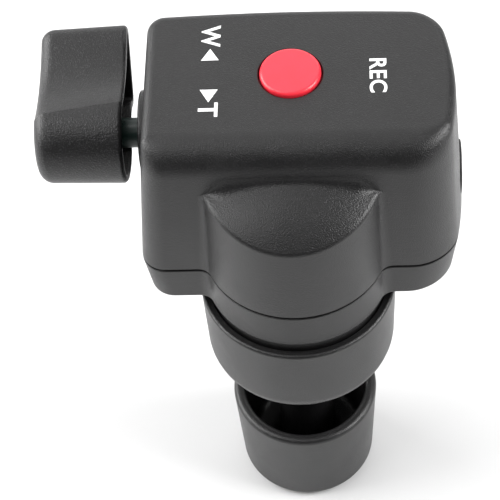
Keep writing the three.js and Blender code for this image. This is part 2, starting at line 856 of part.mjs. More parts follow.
function makeButton() {
  const radius = button.holeRadius - button.gap;
  const face = top + button.proud;
  const flangeTop = innerTop - fit.touch;
  const flangeLow = flangeTop - button.flangeThick;
  const stemLow = plungerTop + fit.touch;
  return revolve([
    [0, stemLow],
    [button.stemRadius, stemLow],
    [button.stemRadius, flangeLow],
    [button.flangeRadius, flangeLow],
    [button.flangeRadius, flangeTop],
    [radius, flangeTop],
    ...arc(radius - button.edge, face - button.edge, button.edge, 0, 90, facets.lip),
    [0, face],
  ], facets.round, button.x, button.behindStud);
}

const tactTop = boardTop + fit.touch + tact.height;
const plungerTop = tactTop + tact.plungerHeight;

function makeTact() {
  const body = block(button.x - tact.half, button.x + tact.half, button.behindStud - tact.half,
    button.behindStud + tact.half, boardTop + fit.touch, tactTop);
  const well = column(tact.plungerRadius + fit.seat, tactTop - tact.wellDepth, tactTop + fit.cut,
    facets.small, button.x, button.behindStud);
  return cut(body, well);
}

function makePlunger() {
  return column(tact.plungerRadius, tactTop - tact.plungerInside, plungerTop, facets.small,
    button.x, button.behindStud);
}

// Main board with its two screw holes
function makeBoard() {
  const shape = new THREE.Shape();
  shape.moveTo(-board.left, board.front);
  shape.lineTo(board.right, board.front);
  shape.lineTo(board.right, board.back);
  shape.lineTo(-board.left, board.back);
  shape.closePath();
  boardPlaces.forEach(([x, y]) => {
    const hole = new THREE.Path();
    hole.absarc(x, y, board.screwRadius + fit.seat, 0, 2 * Math.PI, true);
    shape.holes.push(hole);
  });
  return prismZ(shape, boardTop - board.thick, boardTop);
}

// Cable socket under the board and its bezel on the right wall

function makeSocket() {
  const right = wallsAt(socketHeight).right;
  const bodyEnd = right - housing.wall - 2 * fit.seat;
  const neckEnd = bodyEnd + socket.neckLength;
  const body = block(bodyEnd - socket.length, bodyEnd, socket.behindStud - socket.halfWidth,
    socket.behindStud + socket.halfWidth, socketHeight - socket.halfHeight, socketHeight + socket.halfHeight);
  const neck = alongX(column(socket.neckRadius, bodyEnd - fit.cut, neckEnd - fit.cut, facets.small),
    socket.behindStud, socketHeight);
  const bore = alongX(column(socket.boreRadius, neckEnd - socket.boreDepth, neckEnd + fit.cut, facets.tiny),
    socket.behindStud, socketHeight);
  return cut(join(body, neck), bore);
}

function makeBezel() {
  const right = wallsAt(socketHeight).right;
  const from = right - socket.bezelSunk + fit.touch;
  const to = right + socket.bezelProud;
  const outer = socket.bezelRadius;
  const profile = [
    [socket.entryRadius, from],
    [outer, from],
    [outer, to - socket.bezelProud / 3],
    [outer - socket.bezelProud / 3, to],
    [socket.entryRadius + socket.bezelProud / 3, to],
    [socket.entryRadius, to - socket.bezelProud / 3],
    [socket.entryRadius, from],
  ];
  return alongX(revolve(profile, facets.column), socket.behindStud, socketHeight);
}

// Zoom drive

function makeShaft() {
  return shaftRound(zoom.shaftRadius, shaftTip, shaftEnd);
}

function makeBearing() {
  const inner = zoom.shaftRadius + fit.seat;
  const profile = [
    [inner, bearingSeat - fit.touch - zoom.bearingFlangeThick],
    [zoom.bearingFlange, bearingSeat - fit.touch - zoom.bearingFlangeThick],
    [zoom.bearingFlange, bearingSeat - fit.touch],
    [zoom.bearingRadius, bearingSeat - fit.touch],
    [zoom.bearingRadius, bearingEnd],
    [inner, bearingEnd],
    [inner, bearingSeat - fit.touch - zoom.bearingFlangeThick],
  ];
  return alongX(revolve(profile, facets.small), zoom.behindStud, zoomHeight);
}

// Cam: a sleeve on the shaft with a plate and a finger over the spring's coil
function makeCam() {
  const plateEnd = camPlateStart + zoom.camPlate;
  const sleeve = shaftRound(zoom.camRadius, coilStart, plateEnd, facets.small);
  const y = zoom.behindStud;
  const half = zoom.fingerHalfWidth;
  const plate = block(camPlateStart, plateEnd, y - half, y + half, zoomHeight, zoomHeight + zoom.fingerHigh);
  const finger = block(coilStart, plateEnd, y - half, y + half,
    zoomHeight + zoom.fingerLow, zoomHeight + zoom.fingerHigh);
  return cut(join(sleeve, plate, finger),
    shaftRound(zoom.shaftRadius + fit.seat, coilStart - fit.cut, plateEnd + fit.cut, facets.small));
}

// Centring spring: one wire, wound about the cam, with both legs up beside the fixed post
class SpringCurve extends THREE.Curve {
  getPoint(share, target = new THREE.Vector3()) {
    const radius = zoom.coilRadius;
    const lean = Math.asin(zoom.legSpread / radius);
    const turn = 2 * Math.PI * zoom.coilTurns - 2 * lean;
    const legLength = zoom.legReach - radius * Math.cos(lean);
    const coilPath = turn * radius;
    const whole = coilPath + 2 * legLength;
    const along = share * whole;
    const first = coilStart + zoom.wire / 2;
    const last = first + coilLength - zoom.wire;
    if (along < legLength) {
      return target.set(first, -zoom.legSpread, zoom.legReach - along);
    }
    if (along > legLength + coilPath) {
      const up = along - legLength - coilPath;
      return target.set(last, zoom.legSpread, radius * Math.cos(lean) + up);
    }
    const done = (along - legLength) / coilPath;
    const angle = lean + done * turn;
    return target.set(mix(first, last, done), -radius * Math.sin(angle), radius * Math.cos(angle));
  }
}

function makeSpring() {
  const section = new THREE.Shape();
  const sidesOfWire = 6;
  for (let i = 0; i < sidesOfWire; i += 1) {
    const angle = (2 * Math.PI * i) / sidesOfWire;
    const point = [(zoom.wire / 2) * Math.cos(angle), (zoom.wire / 2) * Math.sin(angle)];
    if (i === 0) section.moveTo(...point);
    else section.lineTo(...point);
  }
  section.closePath();
  const steps = facets.coil * (zoom.coilTurns + 1);
  const geometry = new THREE.ExtrudeGeometry(section, { steps, extrudePath: new SpringCurve() });
  geometry.translate(0, zoom.behindStud, zoomHeight);
  return solid(geometry);
}

function makeSensor() {
  const body = shaftRound(sensor.radius, sensorFace, sensorBack - fit.touch, facets.small);
  const bore = shaftRound(zoom.shaftRadius + fit.seat, sensorFace - fit.cut, shaftEnd + fit.seat);
  return cut(body, bore);
}

function makeSensorBoard() {
  const y = zoom.behindStud;
  return block(sensorBack, sensorBack + sensor.boardThick, y - sensor.boardHalf, y + sensor.boardHalf,
    zoomHeight - sensor.boardBelow, innerTop - fit.touch);
}

// Thumb knob: a hollow, tapered shell with a dished top, open towards the housing

// Its outline about the shaft as [behind, above] pairs, before any inset
function knobOutline(share) {
  const hubSteps = facets.small;
  const upperCrease = mix(creaseOuter, creaseInner, share);
  const underCrease = mix(underCreaseOuter, underCreaseInner, share);
  const crest = [zoom.tipReach - zoom.tipRound, zoom.tipHeight - zoom.tipRound];
  const heel = [zoom.heelReach - zoom.tipRound, zoom.tipRound - zoom.heelDrop];
  const faceTurn = (Math.atan2(heel[0] - crest[0], crest[1] - heel[1]) * 180) / Math.PI;
  const hub = arc(0, 0, zoom.hubRadius, upperCrease, underCrease, hubSteps);
  const heelArc = arc(...heel, zoom.tipRound, heelTurn, 360 + faceTurn, facets.lip);
  const tipArc = arc(...crest, zoom.tipRound, faceTurn, crestTurn, facets.corner);
  const hollow = (from, to, rise) => {
    const over = [(from[0] + to[0]) / 2, (from[1] + to[1]) / 2 + 2 * rise];
    const found = [];
    for (let i = 1; i < facets.bow; i += 1) {
      const t = i / facets.bow;
      found.push([0, 1].map((k) => (1 - t) ** 2 * from[k] + 2 * t * (1 - t) * over[k] + t ** 2 * to[k]));
    }
    return found;
  };
  const points = [
    ...hub,
    ...hollow(hub[hub.length - 1], heelArc[0], zoom.underDepth),
    ...heelArc,
    ...tipArc,
    ...hollow(tipArc[tipArc.length - 1], hub[0], -zoom.dishDepth),
  ];
  const scale = mix(taperShare, 1, share);
  return points.map(([y, z]) => [y * scale, z * scale]);
}

// The outline drawn in square to itself
function drawnIn(outline, inset) {
  const count = outline.length;
  const inward = (from, to) => {
    const length = Math.hypot(to[0] - from[0], to[1] - from[1]);
    return [(from[1] - to[1]) / length, (to[0] - from[0]) / length];
  };
  return outline.map((point, i) => {
    const before = inward(outline[(i + count - 1) % count], point);
    const after = inward(point, outline[(i + 1) % count]);
    const reach = inset / (1 + before[0] * after[0] + before[1] * after[1]);
    return [point[0] + reach * (before[0] + after[0]), point[1] + reach * (before[1] + after[1])];
  });
}

// One ring of the thumb knob at a place along its width, from 0 at its outer end
function knobRing(place, inset) {
  const share = place / zoom.width;
  const x = -zoom.innerEnd - zoom.width + place;
  return drawnIn(knobOutline(share), inset).map(([y, z]) => [x, y + zoom.behindStud, z + zoomHeight]);
}

function makeThumbKnob() {
  const round = zoom.endRound;
  const rings = [];
  const steps = facets.corner - 1;
  for (let i = 0; i <= steps; i += 1) {
    const angle = degrees((90 * i) / steps);
    rings.push(knobRing(round * (1 - Math.cos(angle)), round * (1 - Math.sin(angle))));
  }
  const spans = 3;
  for (let i = 1; i <= spans; i += 1) rings.push(knobRing(mix(round, zoom.width, i / spans), 0));
  const outer = loft(rings);
  const inner = loft([
    knobRing(zoom.endWall, zoom.wall + round / 4),
    knobRing(zoom.endWall + round / 4, zoom.wall),
    knobRing(zoom.width, zoom.wall),
  ]);
  const mouth = loft([
    knobRing(zoom.width, zoom.wall).map(([x, y, z]) => [x - fit.cut, y, z]),
    knobRing(zoom.width, zoom.wall).map(([x, y, z]) => [x + fit.cut, y, z]),
  ]);
  const outerEnd = -zoom.innerEnd - zoom.width;
  const hub = shaftRound(zoom.boreRadius, outerEnd + zoom.endWall / 2, -zoom.innerEnd - zoom.hubRecess,
    facets.column);
  const bore = shaftRound(zoom.shaftRadius + fit.seat, shaftTip - fit.seat, -zoom.innerEnd);
  return cut(join(cut(outer, inner, mouth), hub), bore);
}

// The assembly

const plastic = (color, roughness) => new THREE.MeshStandardMaterial({ color, roughness, metalness: 0 });
const metal = (color, roughness) => new THREE.MeshStandardMaterial({ color, roughness, metalness: 1 });
const blackPlastic = () => plastic(0x2b2b2d, 0.5);
const rubber = () => plastic(0x1a1a1b, 0.85);
const redPlastic = () => plastic(0xe0303a, 0.4);
const darkShaft = () => plastic(0x0e1a17, 0.45);
const steel = () => metal(0xb4b6b8, 0.35);
const brass = () => metal(0xc2a04e, 0.35);
const laminate = () => plastic(0x1f4a33, 0.6);
const dullPlastic = () => plastic(0x161617, 0.6);

const part = new THREE.Group();
const instrument = new THREE.Group();
instrument.position.set(0, -bar.behindStud, -bar.axisHeight);
part.add(instrument);

function place(name, body, material) {
  const mesh = new THREE.Mesh(geometryOf(body), material);
  mesh.name = name;
  instrument.add(mesh);
}

place('upper_cover', makeUpperCover(), blackPlastic());
place('lower_cover', makeLowerCover(), blackPlastic());
place('saddle_pad', makeSaddlePad(), rubber());
place('record_button', makeButton(), redPlastic());
place('switch_body', makeTact(), dullPlastic());
place('switch_plunger', makePlunger(), dullPlastic());
place('circuit_board', makeBoard(), laminate());
place('cable_socket', makeSocket(), dullPlastic());
place('socket_bezel', makeBezel(), dullPlastic());
place('zoom_knob', makeThumbKnob(), blackPlastic());
place('zoom_shaft', makeShaft(), darkShaft());
place('shaft_bearing', makeBearing(), dullPlastic());
place('spring_cam', makeCam(), dullPlastic());
place('return_spring', makeSpring(), steel());
place('position_sensor', makeSensor(), dullPlastic());
place('sensor_board', makeSensorBoard(), laminate());
place('clamp_stud', makeStud(), steel());
place('clamp_jaw', makeJaw(), blackPlastic());
Object.entries(sides).forEach(([name, side]) => place(`jaw_pad_${name}`, makeJawPad(side), rubber()));
place('clamp_knob', makeClampKnob(), blackPlastic());
place('knob_insert', ring(insert.radius, stud.radius + fit.seat, hubTop - insert.length, hubTop), brass());
const washerFoot = hubTop + fit.seat / 2;
const washerHead = washerFoot + washer.thick;
place('thrust_washer', ring(washer.radius, stud.radius + fit.running, washerFoot, washerHead), steel());
screwPlaces.forEach(([x, y], i) =>
  place(`housing_screw_${i + 1}`, makeScrew(x, y, screwSeat, screw), steel()));
const boardScrew = {
  shank: board.screwRadius,
  length: board.thick + board.screwLength - 2 * fit.seat,
  head: board.screwHead,
  headHeight: board.screwHeadHeight,
  driveRadius: board.screwHead / 3,
  driveDepth: board.screwHeadHeight / 2,
};
boardPlaces.forEach(([x, y], i) =>
  place(`board_screw_${i + 1}`, makeScrew(x, y, boardTop - board.thick, boardScrew), steel()));

export default part;
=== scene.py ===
import math

import bmesh
import bpy
from mathutils import Matrix, Vector


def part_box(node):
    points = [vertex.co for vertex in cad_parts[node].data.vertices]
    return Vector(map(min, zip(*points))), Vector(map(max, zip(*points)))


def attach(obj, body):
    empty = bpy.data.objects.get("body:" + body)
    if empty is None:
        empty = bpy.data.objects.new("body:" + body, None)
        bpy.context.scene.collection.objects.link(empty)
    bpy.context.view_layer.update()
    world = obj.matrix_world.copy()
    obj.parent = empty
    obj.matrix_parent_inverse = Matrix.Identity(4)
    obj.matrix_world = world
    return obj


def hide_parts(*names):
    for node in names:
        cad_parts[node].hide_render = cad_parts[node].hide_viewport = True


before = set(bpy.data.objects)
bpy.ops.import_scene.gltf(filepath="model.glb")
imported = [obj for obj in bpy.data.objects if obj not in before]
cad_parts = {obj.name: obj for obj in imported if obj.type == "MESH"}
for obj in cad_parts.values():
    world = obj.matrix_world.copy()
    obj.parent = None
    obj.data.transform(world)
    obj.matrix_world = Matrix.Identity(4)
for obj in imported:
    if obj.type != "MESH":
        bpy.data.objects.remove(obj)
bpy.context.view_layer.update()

bl_info = {
    "name": "Pan-bar zoom remote",
    "version": (1, 0, 0),
    "blender": (4, 5, 0),
    "location": "View3D > Sidebar > Remote",
    "description": "Models a pan-bar zoom remote round its packed frame",
    "category": "Object",
}

# Places that the frame gives. Lengths along the clamp stud are measured up from the
# clamp knob's foot, and lengths from front to back are measured from the stud's axis.

KNOB_LOW, KNOB_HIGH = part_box("clamp_knob")
FOOT = Vector((0, (KNOB_LOW.y + KNOB_HIGH.y) / 2, KNOB_LOW.z))
UPPER_LOW, UPPER_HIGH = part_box("upper_cover")
JAW_LOW, JAW_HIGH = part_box("clamp_jaw")
SHAFT_LOW, SHAFT_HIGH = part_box("zoom_shaft")
BUTTON_LOW, BUTTON_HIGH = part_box("record_button")
BEZEL_LOW, BEZEL_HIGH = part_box("socket_bezel")
THUMB_LOW, THUMB_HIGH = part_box("zoom_knob")


def up(height):
    """A height in the frame as a height above the knob's foot."""
    return height - FOOT.z


def behind(place):
    """A place along Y in the frame as a distance behind the stud's axis."""
    return place - FOOT.y


TOP = up(UPPER_HIGH.z)
CUP_RIM = up(JAW_HIGH.z)
CUP_FOOT = up(JAW_LOW.z)
SHAFT_BEHIND = behind((SHAFT_LOW.y + SHAFT_HIGH.y) / 2)
SHAFT_UP = up((SHAFT_LOW.z + SHAFT_HIGH.z) / 2)
SHAFT_RADIUS = (SHAFT_HIGH.z - SHAFT_LOW.z) / 2


def mix(start, end, share):
    return start + (end - start) * share


def held(share):
    return min(1, max(0, share))


def curve(first, over, last, share):
    """A point of the curve that leaves first towards over and reaches last from it."""
    return first * (1 - share) ** 2 + over * 2 * share * (1 - share) + last * share**2


def shares(steps, first=0, last=1):
    """Even shares from 0 to 1; first and last leave some ends out."""
    return [i / steps for i in range(first, steps + last)]


def quarter(steps, first=0):
    """Even turns through a right angle."""
    return [math.pi / 2 * share for share in shares(steps, first)]


# Sizes and colours that a user would change


def plain(name, description, default, **more):
    return bpy.props.FloatProperty(name=name, description=description, default=default, **more)


def length(name, description, default):
    return plain(name, description, default, unit="LENGTH", precision=4)


def angle(name, description, default):
    return plain(name, description, math.radians(default), subtype="ANGLE")


def colour(name, description, default):
    return bpy.props.FloatVectorProperty(
        name=name, description=description, default=default, size=3, subtype="COLOR",
    )


class HousingSizes(bpy.types.PropertyGroup):
    """Sizes of the two moulded covers."""

    wall: length("Wall", "Thickness of the moulded walls", 0.0022)
    seam_gap: length("Seam gap", "Gap between the two covers", 0.00055)
    lower_height: length("Lower height", "Height of the lower cover", 0.0096)
    underside_gap: length("Underside gap", "Underside above the jaw's rim", 0.0025)
    left_at_seam: length("Left at seam", "Left wall from the stud at the seam", 0.0314)
    left_at_top: length("Left at top", "Left wall from the stud at the top", 0.0285)
    right_at_seam: length("Right at seam", "Right wall from the stud at the seam", 0.0343)
    right_at_top: length("Right at top", "Right wall from the stud at the top", 0.0322)
    front_at_seam: length("Front at seam", "Front wall from the stud at the seam", 0.0067)
    front_at_top: length("Front at top", "Front wall from the stud at the top", 0.0048)
    front_swell: plain("Front swell", "How late the front wall leans back", 2.6)
    back_at_seam: length("Back at seam", "Back wall from the stud at the seam", 0.034)
    back_at_top: length("Back at top", "Back wall from the stud at the top", 0.0328)
    foot_inset: length("Foot inset", "How far the lower cover draws in at its foot", 0.0012)
    foot_round: length("Foot round", "Round at the lower cover's foot", 0.0007)
    right_bow: length("Right bow", "How far the right wall falls back at its reach", 0.0028)
    right_bow_centre: length("Right bow centre", "Middle of the right wall's bow", 0.013)
    right_bow_reach: length("Right bow reach", "Reach of the right wall's bow", 0.019)
    back_bow: length("Back bow", "How far the back wall falls back at its reach", 0.0009)
    back_bow_reach: length("Back bow reach", "Reach of the back wall's bow", 0.03)
    front_left_round: length("Front left round", "Round of that corner", 0.005)
    front_right_round: length("Front right round", "Round of that corner", 0.0075)
    back_right_round: length("Back right round", "Round of that corner", 0.0055)
    back_left_round: length("Back left round", "Round of that corner", 0.0034)
    least_round: length("Least round", "Smallest round of an inner corner", 0.0008)
    front_top_round: length("Front top round", "Round of the top's front edge", 0.006)
    side_top_round: length("Side top round", "Round of the top's other edges", 0.002)
    seam_round: length("Seam round", "Round of the edges at the seam", 0.0002)


class BossSizes(bpy.types.PropertyGroup):
    """Sizes of the round boss in front, its dome and the guide under it."""

    radius: length("Radius", "Radius of the boss", 0.0191)
    draft: length("Draft", "How much narrower the boss is at its dome", 0.0011)
    root_round: length("Root round", "Round where the boss meets the front wall", 0.003)
    root_round_high: length("Root round high", "The same round at the dome", 0.0014)
    dome_radius: length("Dome radius", "Radius of the domed top from front to back", 0.03)
    dome_flatness: plain("Dome flatness", "How much less it curves from side to side", 0.55)
    dome_behind: length("Dome behind", "Middle of the dome behind the stud's axis", 0.002)
    dome_rise: length("Dome rise", "Top of the dome above the seam", 0.028)
    edge_round: length("Edge round", "Round of the dome's edge", 0.0014)
    wall_blend: length("Wall blend", "Round where the dome meets the front wall", 0.0026)
    guide_radius: length("Guide radius", "Radius of the guide under the boss", 0.0184)
    guide_length: length("Guide length", "Length of the guide below the underside", 0.0126)
    guide_flat: length("Guide flat", "Flat of the guide behind the stud's axis", 0.0045)


class FinishColours(bpy.types.PropertyGroup):
    """Base colours of the finishes."""

    black: colour("Black plastic", "Grained covers and knobs", (0.0055, 0.0053, 0.0056))
    cap_red: colour("Red", "Record button", (0.85, 0.026, 0.047))
    print_white: colour("Print", "Printed marks", (0.86, 0.86, 0.86))
    shaft: colour("Shaft", "Shaft of the thumb knob", (0.008, 0.03, 0.024))
    rubber: colour("Rubber", "Grip pads", (0.018, 0.018, 0.019))
    steel: colour("Steel", "Screws, stud and washer", (0.56, 0.57, 0.58))
    brass: colour("Brass", "Threaded insert", (0.65, 0.47, 0.2))
    mask: colour("Board", "Solder mask of the boards", (0.02, 0.12, 0.05))
    floor: colour("Floor", "Studio floor", (0.68, 0.68, 0.68))


class StageSizes(bpy.types.PropertyGroup):
    """The camera, as fitted to the photograph."""

    azimuth: angle("Azimuth", "Camera's angle to the right of the front", 5.44)
    elevation: angle("Elevation", "Camera's angle above the horizon", 53.61)
    roll: angle("Roll", "Camera's turn about its line of sight", -5.53)
    distance: length("Distance", "Camera from its target", 0.41128)
    target_x: length("Target X", "Target from the stud's axis", -0.00952)
    target_up: length("Target up", "Target above the knob's foot", 0.07644)
    lens: plain("Lens", "Focal length in millimetres", 144)


def sizes(name):
    return getattr(bpy.context.scene, name)


# Mesh code


def place(x, y, z):
    """A point from its distances right of and behind the stud, and above the knob's foot."""
    return FOOT + Vector((x, y, z))


def loft(stations, levels, spot):
    """Draw one ring of stations through the levels; spot gives the point of each."""
    shape = bmesh.new()
    number = shape.verts.layers.int.new("station")
    ring = bmesh.ops.create_circle(shape, segments=len(stations), radius=1)["verts"]
    for i, vert in enumerate(ring):
        vert[number] = i
        vert.co = spot(stations[i], levels[0])
    edges = shape.edges[:]
    for level in levels[1:]:
        drawn = bmesh.ops.extrude_edge_only(shape, edges=edges)["geom"]
        for vert in (item for item in drawn if isinstance(item, bmesh.types.BMVert)):
            vert.co = spot(stations[vert[number]], level)
        edges = [item for item in drawn if isinstance(item, bmesh.types.BMEdge)]
    return shape


def close_ends(shape):
    """Fill each open ring with one flat face."""
    rims = [edge for edge in shape.edges if edge.is_boundary]
    bmesh.ops.holes_fill(shape, edges=rims, sides=len(rims))


def tidy(shape, distance=2e-7):
    bmesh.ops.remove_doubles(shape, verts=shape.verts[:], dist=distance)
    bmesh.ops.dissolve_degenerate(shape, edges=shape.edges[:], dist=distance)
    bmesh.ops.recalc_face_normals(shape, faces=shape.faces[:])
    return shape


def bevel(shape, parts, width, segments, affect="EDGES"):
    bmesh.ops.bevel(
        shape, geom=parts, offset=width, segments=segments, profile=0.5, affect=affect, material=-1,
    )


def draw_out(shape, faces, offset):
    """Extrude faces by an offset."""
    drawn = bmesh.ops.extrude_face_region(shape, geom=faces)["geom"]
    moved = [item for item in drawn if isinstance(item, bmesh.types.BMVert)]
    bmesh.ops.translate(shape, vec=offset, verts=moved)


def turned(corners, steps=96, closed=False, round_steps=5):
    """Spin a profile of (radius, height, round) corners about the Z axis."""
    shape = bmesh.new()
    verts = [shape.verts.new((radius, 0, height)) for radius, height, _ in corners]
    pairs = list(zip(verts, verts[1:])) + ([(verts[-1], verts[0])] if closed else [])
    for pair in pairs:
        shape.edges.new(pair)
    for vert, (_, _, rounding) in zip(verts, corners):
        if rounding and len(vert.link_edges) == 2:
            arms = [edge.other_vert(vert).co - vert.co for edge in vert.link_edges]
            turn = math.pi - arms[0].angle(arms[1])
            bevel(shape, [vert], rounding * math.tan(turn / 2), round_steps, "VERTICES")
    bmesh.ops.spin(
        shape, geom=shape.verts[:] + shape.edges[:], cent=(0, 0, 0), axis=(0, 0, 1),
        angle=2 * math.pi, steps=steps, use_merge=True,
    )
    return tidy(shape)


def rod(radius, low, high, steps, *rounds):
    """A cylinder along Z; rounds are those of its lower and its upper edge."""
    first, second = (*rounds, 0, 0)[:2]
    return turned([(0, low, 0), (radius, low, first), (radius, high, second), (0, high, 0)], steps)


def move(shape, offset, turn=None):
    matrix = Matrix.Translation(offset)
    if turn:
        matrix = matrix @ turn
    bmesh.ops.transform(shape, matrix=matrix, verts=shape.verts[:])
    return shape


ALONG_X = Matrix.Rotation(math.pi / 2, 4, "Y")


def add_to(shape, other):
    """Put the faces of another shape into this one."""
    spare = bpy.data.meshes.new("spare")
    other.to_mesh(spare)
    other.free()
    shape.from_mesh(spare)
    bpy.data.meshes.remove(spare)
    return shape


def box_shape(low, high, rounding=0.0):
    """A box between two corners."""
    shape = bmesh.new()
    bmesh.ops.create_cube(shape, size=1)
    bmesh.ops.scale(shape, vec=high - low, verts=shape.verts[:])
    bmesh.ops.translate(shape, vec=(low + high) / 2, verts=shape.verts[:])
    if rounding:
        bevel(shape, shape.edges[:], rounding, 2)
    return shape


def prism_x(corners, low, high):
    """An outline of (behind, up) corners drawn out along X."""
    shape = bmesh.new()
    face = shape.faces.new([shape.verts.new(place(low, y, z)) for y, z in corners])
    draw_out(shape, [face], (high - low, 0, 0))
    return shape


def d_shaped(shape, flat):
    """Cut a shape off flat at a distance behind the stud's axis, and put it there."""
    bmesh.ops.bisect_plane(
        shape, geom=shape.verts[:] + shape.edges[:] + shape.faces[:], dist=1e-6,
        plane_co=(0, flat, 0), plane_no=(0, 1, 0), clear_outer=True,
    )
    close_ends(shape)
    return move(tidy(shape), FOOT)


def add_object(name, data):
    """Put an object with this data in the scene."""
    thing = bpy.data.objects.new(name, data)
    bpy.context.scene.collection.objects.link(thing)
    return thing


def as_made(thing):
    """The mesh of an object with its modifiers, or of a text."""
    bpy.context.view_layer.update()
    return bpy.data.meshes.new_from_object(thing.evaluated_get(bpy.context.evaluated_depsgraph_get()))


def as_object(shape, name):
    mesh = bpy.data.meshes.new(name)
    shape.to_mesh(mesh)
    shape.free()
    return add_object(name, mesh)


def carve(thing, steps):
    """Apply boolean steps, each an operation and a shape, to an object's mesh."""
    tools = []
    for number, (operation, shape) in enumerate(steps):
        tool = as_object(shape, f"tool_{number}")
        cutter = thing.modifiers.new(f"step {number}", "BOOLEAN")
        cutter.operation = operation
        cutter.solver = "EXACT"
        cutter.object = tool
        tools.append(tool)
    finished = as_made(thing)
    thing.modifiers.clear()
    thing.data = finished
    for tool in tools:
        bpy.data.objects.remove(tool)


def finish(thing, body, material, nodes=(), sharp=32):
    """Smooth a piece, give it its finish and make it ride on its body."""
    mesh = thing.data
    mesh.polygons.foreach_set("use_smooth", [True] * len(mesh.polygons))
    mesh.set_sharp_from_angle(angle=math.radians(sharp))
    mesh.materials.clear()
    mesh.materials.append(material)
    normals = thing.modifiers.new("Weighted normals", "WEIGHTED_NORMAL")
    normals.keep_sharp = True
    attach(thing, body)
    if nodes:
        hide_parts(*nodes)


# Shader code


class Value:
    """A shader socket that can stand in a sum or a product."""

    def __init__(self, tree, socket):
        self.tree = tree
        self.socket = socket

    def maths(self, operation, *terms):
        node = self.tree.nodes.new("ShaderNodeMath")
        node.operation = operation
        for slot, term in zip(node.inputs, terms):
            if isinstance(term, Value):
                self.tree.links.new(term.socket, slot)
            else:
                slot.default_value = term
        return Value(self.tree, node.outputs[0])

    def __add__(self, other):
        return self.maths("ADD", self, other)

    def __mul__(self, other):
        return self.maths("MULTIPLY", self, other)

    __radd__ = __add__
    __rmul__ = __mul__


# Range in which most of a noise lies
MOST_LOW, MOST_HIGH = 0.3, 0.7


class Finish:
    """A material under construction."""

    def __init__(self, name):
        self.material = bpy.data.materials.new(name)
        self.material.use_nodes = True
        self.tree = self.material.node_tree
        self.tree.nodes.clear()
        self.point = self.node("TexCoord", output="Object")

    def node(self, kind, settings=None, inputs=None, output=0):
        """Add a node; settings come first, then the values or links of its sockets."""
        node = self.tree.nodes.new("ShaderNode" + kind)
        for name, value in (settings or {}).items():
            setattr(node, name, value)
        for name, value in (inputs or {}).items():
            if isinstance(value, Value):
                self.tree.links.new(value.socket, node.inputs[name])
            else:
                node.inputs[name].default_value = value
        return Value(self.tree, node.outputs[output]) if node.outputs else None

    def noise(self, size, detail=2.0, roughness=0.5):
        """Noise with features of about a size in metres."""
        inputs = {"Vector": self.point, "Scale": 1 / size, "Detail": detail, "Roughness": roughness}
        return self.node("TexNoise", None, inputs)

    def cells(self, size):
        inputs = {"Vector": self.point, "Scale": 1 / size}
        return self.node("TexVoronoi", {"feature": "F1"}, inputs, "Distance")

    def between(self, value, low=MOST_LOW, high=MOST_HIGH, to_low=0.0, to_high=1.0):
        """A value spread from one range to another, held at the ends."""
        inputs = {"Value": value, "From Min": low, "From Max": high, "To Min": to_low, "To Max": to_high}
        return self.node("MapRange", {"clamp": True}, inputs)

    def shade(self, factor, first, second):
        """A colour between two colours."""
        node = self.tree.nodes.new("ShaderNodeMix")
        node.data_type = "RGBA"
        self.tree.links.new(factor.socket, node.inputs["Factor"])
        for name, value in (("A", first), ("B", second)):
            slot = next(item for item in node.inputs if item.name == name and item.type == "RGBA")
            if isinstance(value, Value):
                self.tree.links.new(value.socket, slot)
            else:
                slot.default_value = (*value, 1)
        return Value(self.tree, next(item for item in node.outputs if item.type == "RGBA"))

    def mottled(self, value, shade, low, high):
        """A base colour that drifts between two strengths of a shade."""
        return self.shade(self.between(value), lighter(shade, low), lighter(shade, high))

    def bump(self, height, strength, distance):
        return self.node("Bump", None, {"Height": height, "Strength": strength, "Distance": distance})

    def surface(self, **inputs):
        """End the material with its shader; names have underscores for spaces."""
        named = {name.replace("_", " "): value for name, value in inputs.items()}
        shader = self.node("BsdfPrincipled", None, named)
        self.node("OutputMaterial", None, {"Surface": shader})
        return self.material


def lighter(shade, factor):
    return tuple(min(1, part * factor) for part in shade)


def grained_plastic(name, shade, grain=0.00027, depth=0.00007, painted_sparkle=5.0, rough=0.35):
    """Black moulded plastic with a spark-eroded grain, and painted highlights: specks lightened in its base
    colour as glints.
    """
    look = Finish(name)
    pits = look.cells(grain)
    fine = look.noise(grain * 0.8, 1.0, 0.5)
    broad = look.noise(0.006, 3.0, 0.55)
    height = pits * 0.5 + fine * 0.9
    # Painted highlights: specks of the fine noise are picked here to be painted lighter in the base colour as
    # glints.
    painted_glint = look.between(fine, 0.56, 0.74)
    base = look.mottled(broad, shade, 0.86, 1.14)
    # Painted highlight: the picked specks are mixed towards a far lighter shade in the base colour.
    base = look.shade(painted_glint * 0.55, base, lighter(shade, painted_sparkle))
    roughness = look.between(fine * 0.6 + broad * 0.4, to_low=rough - 0.06, to_high=rough + 0.08)
    return look.surface(
        Base_Color=base, Roughness=roughness, IOR=1.5, Normal=look.bump(height, 1.0, depth),
    )


def plain_plastic(name, shade, rough=0.5):
    """Smooth moulded plastic with faint flow marks."""
    look = Finish(name)
    cloud = look.noise(0.004, 3.0, 0.6)
    fine = look.noise(0.0004, 2.0, 0.6)
    base = look.mottled(cloud, shade, 0.85, 1.2)
    roughness = look.between(fine + cloud, 0.7, 1.3, rough - 0.06, rough + 0.06)
    return look.surface(
        Base_Color=base, Roughness=roughness, IOR=1.5, Normal=look.bump(fine, 0.15, 0.00002),
    )


def red_cap_finish(shade):
    """Satin red plastic with a faintly mottled tone and a thin coat."""
    look = Finish("red_cap")
    cloud = look.noise(0.003, 2.0, 0.5)
    fine = look.noise(0.0003, 2.0, 0.6)
    base = look.mottled(cloud, shade, 0.93, 1.05)
    roughness = look.between(fine, to_low=0.3, to_high=0.4)
    return look.surface(
        Base_Color=base, Roughness=roughness, IOR=1.5, Coat_Weight=0.15, Coat_Roughness=0.2,
        Normal=look.bump(fine, 0.12, 0.00002),
    )


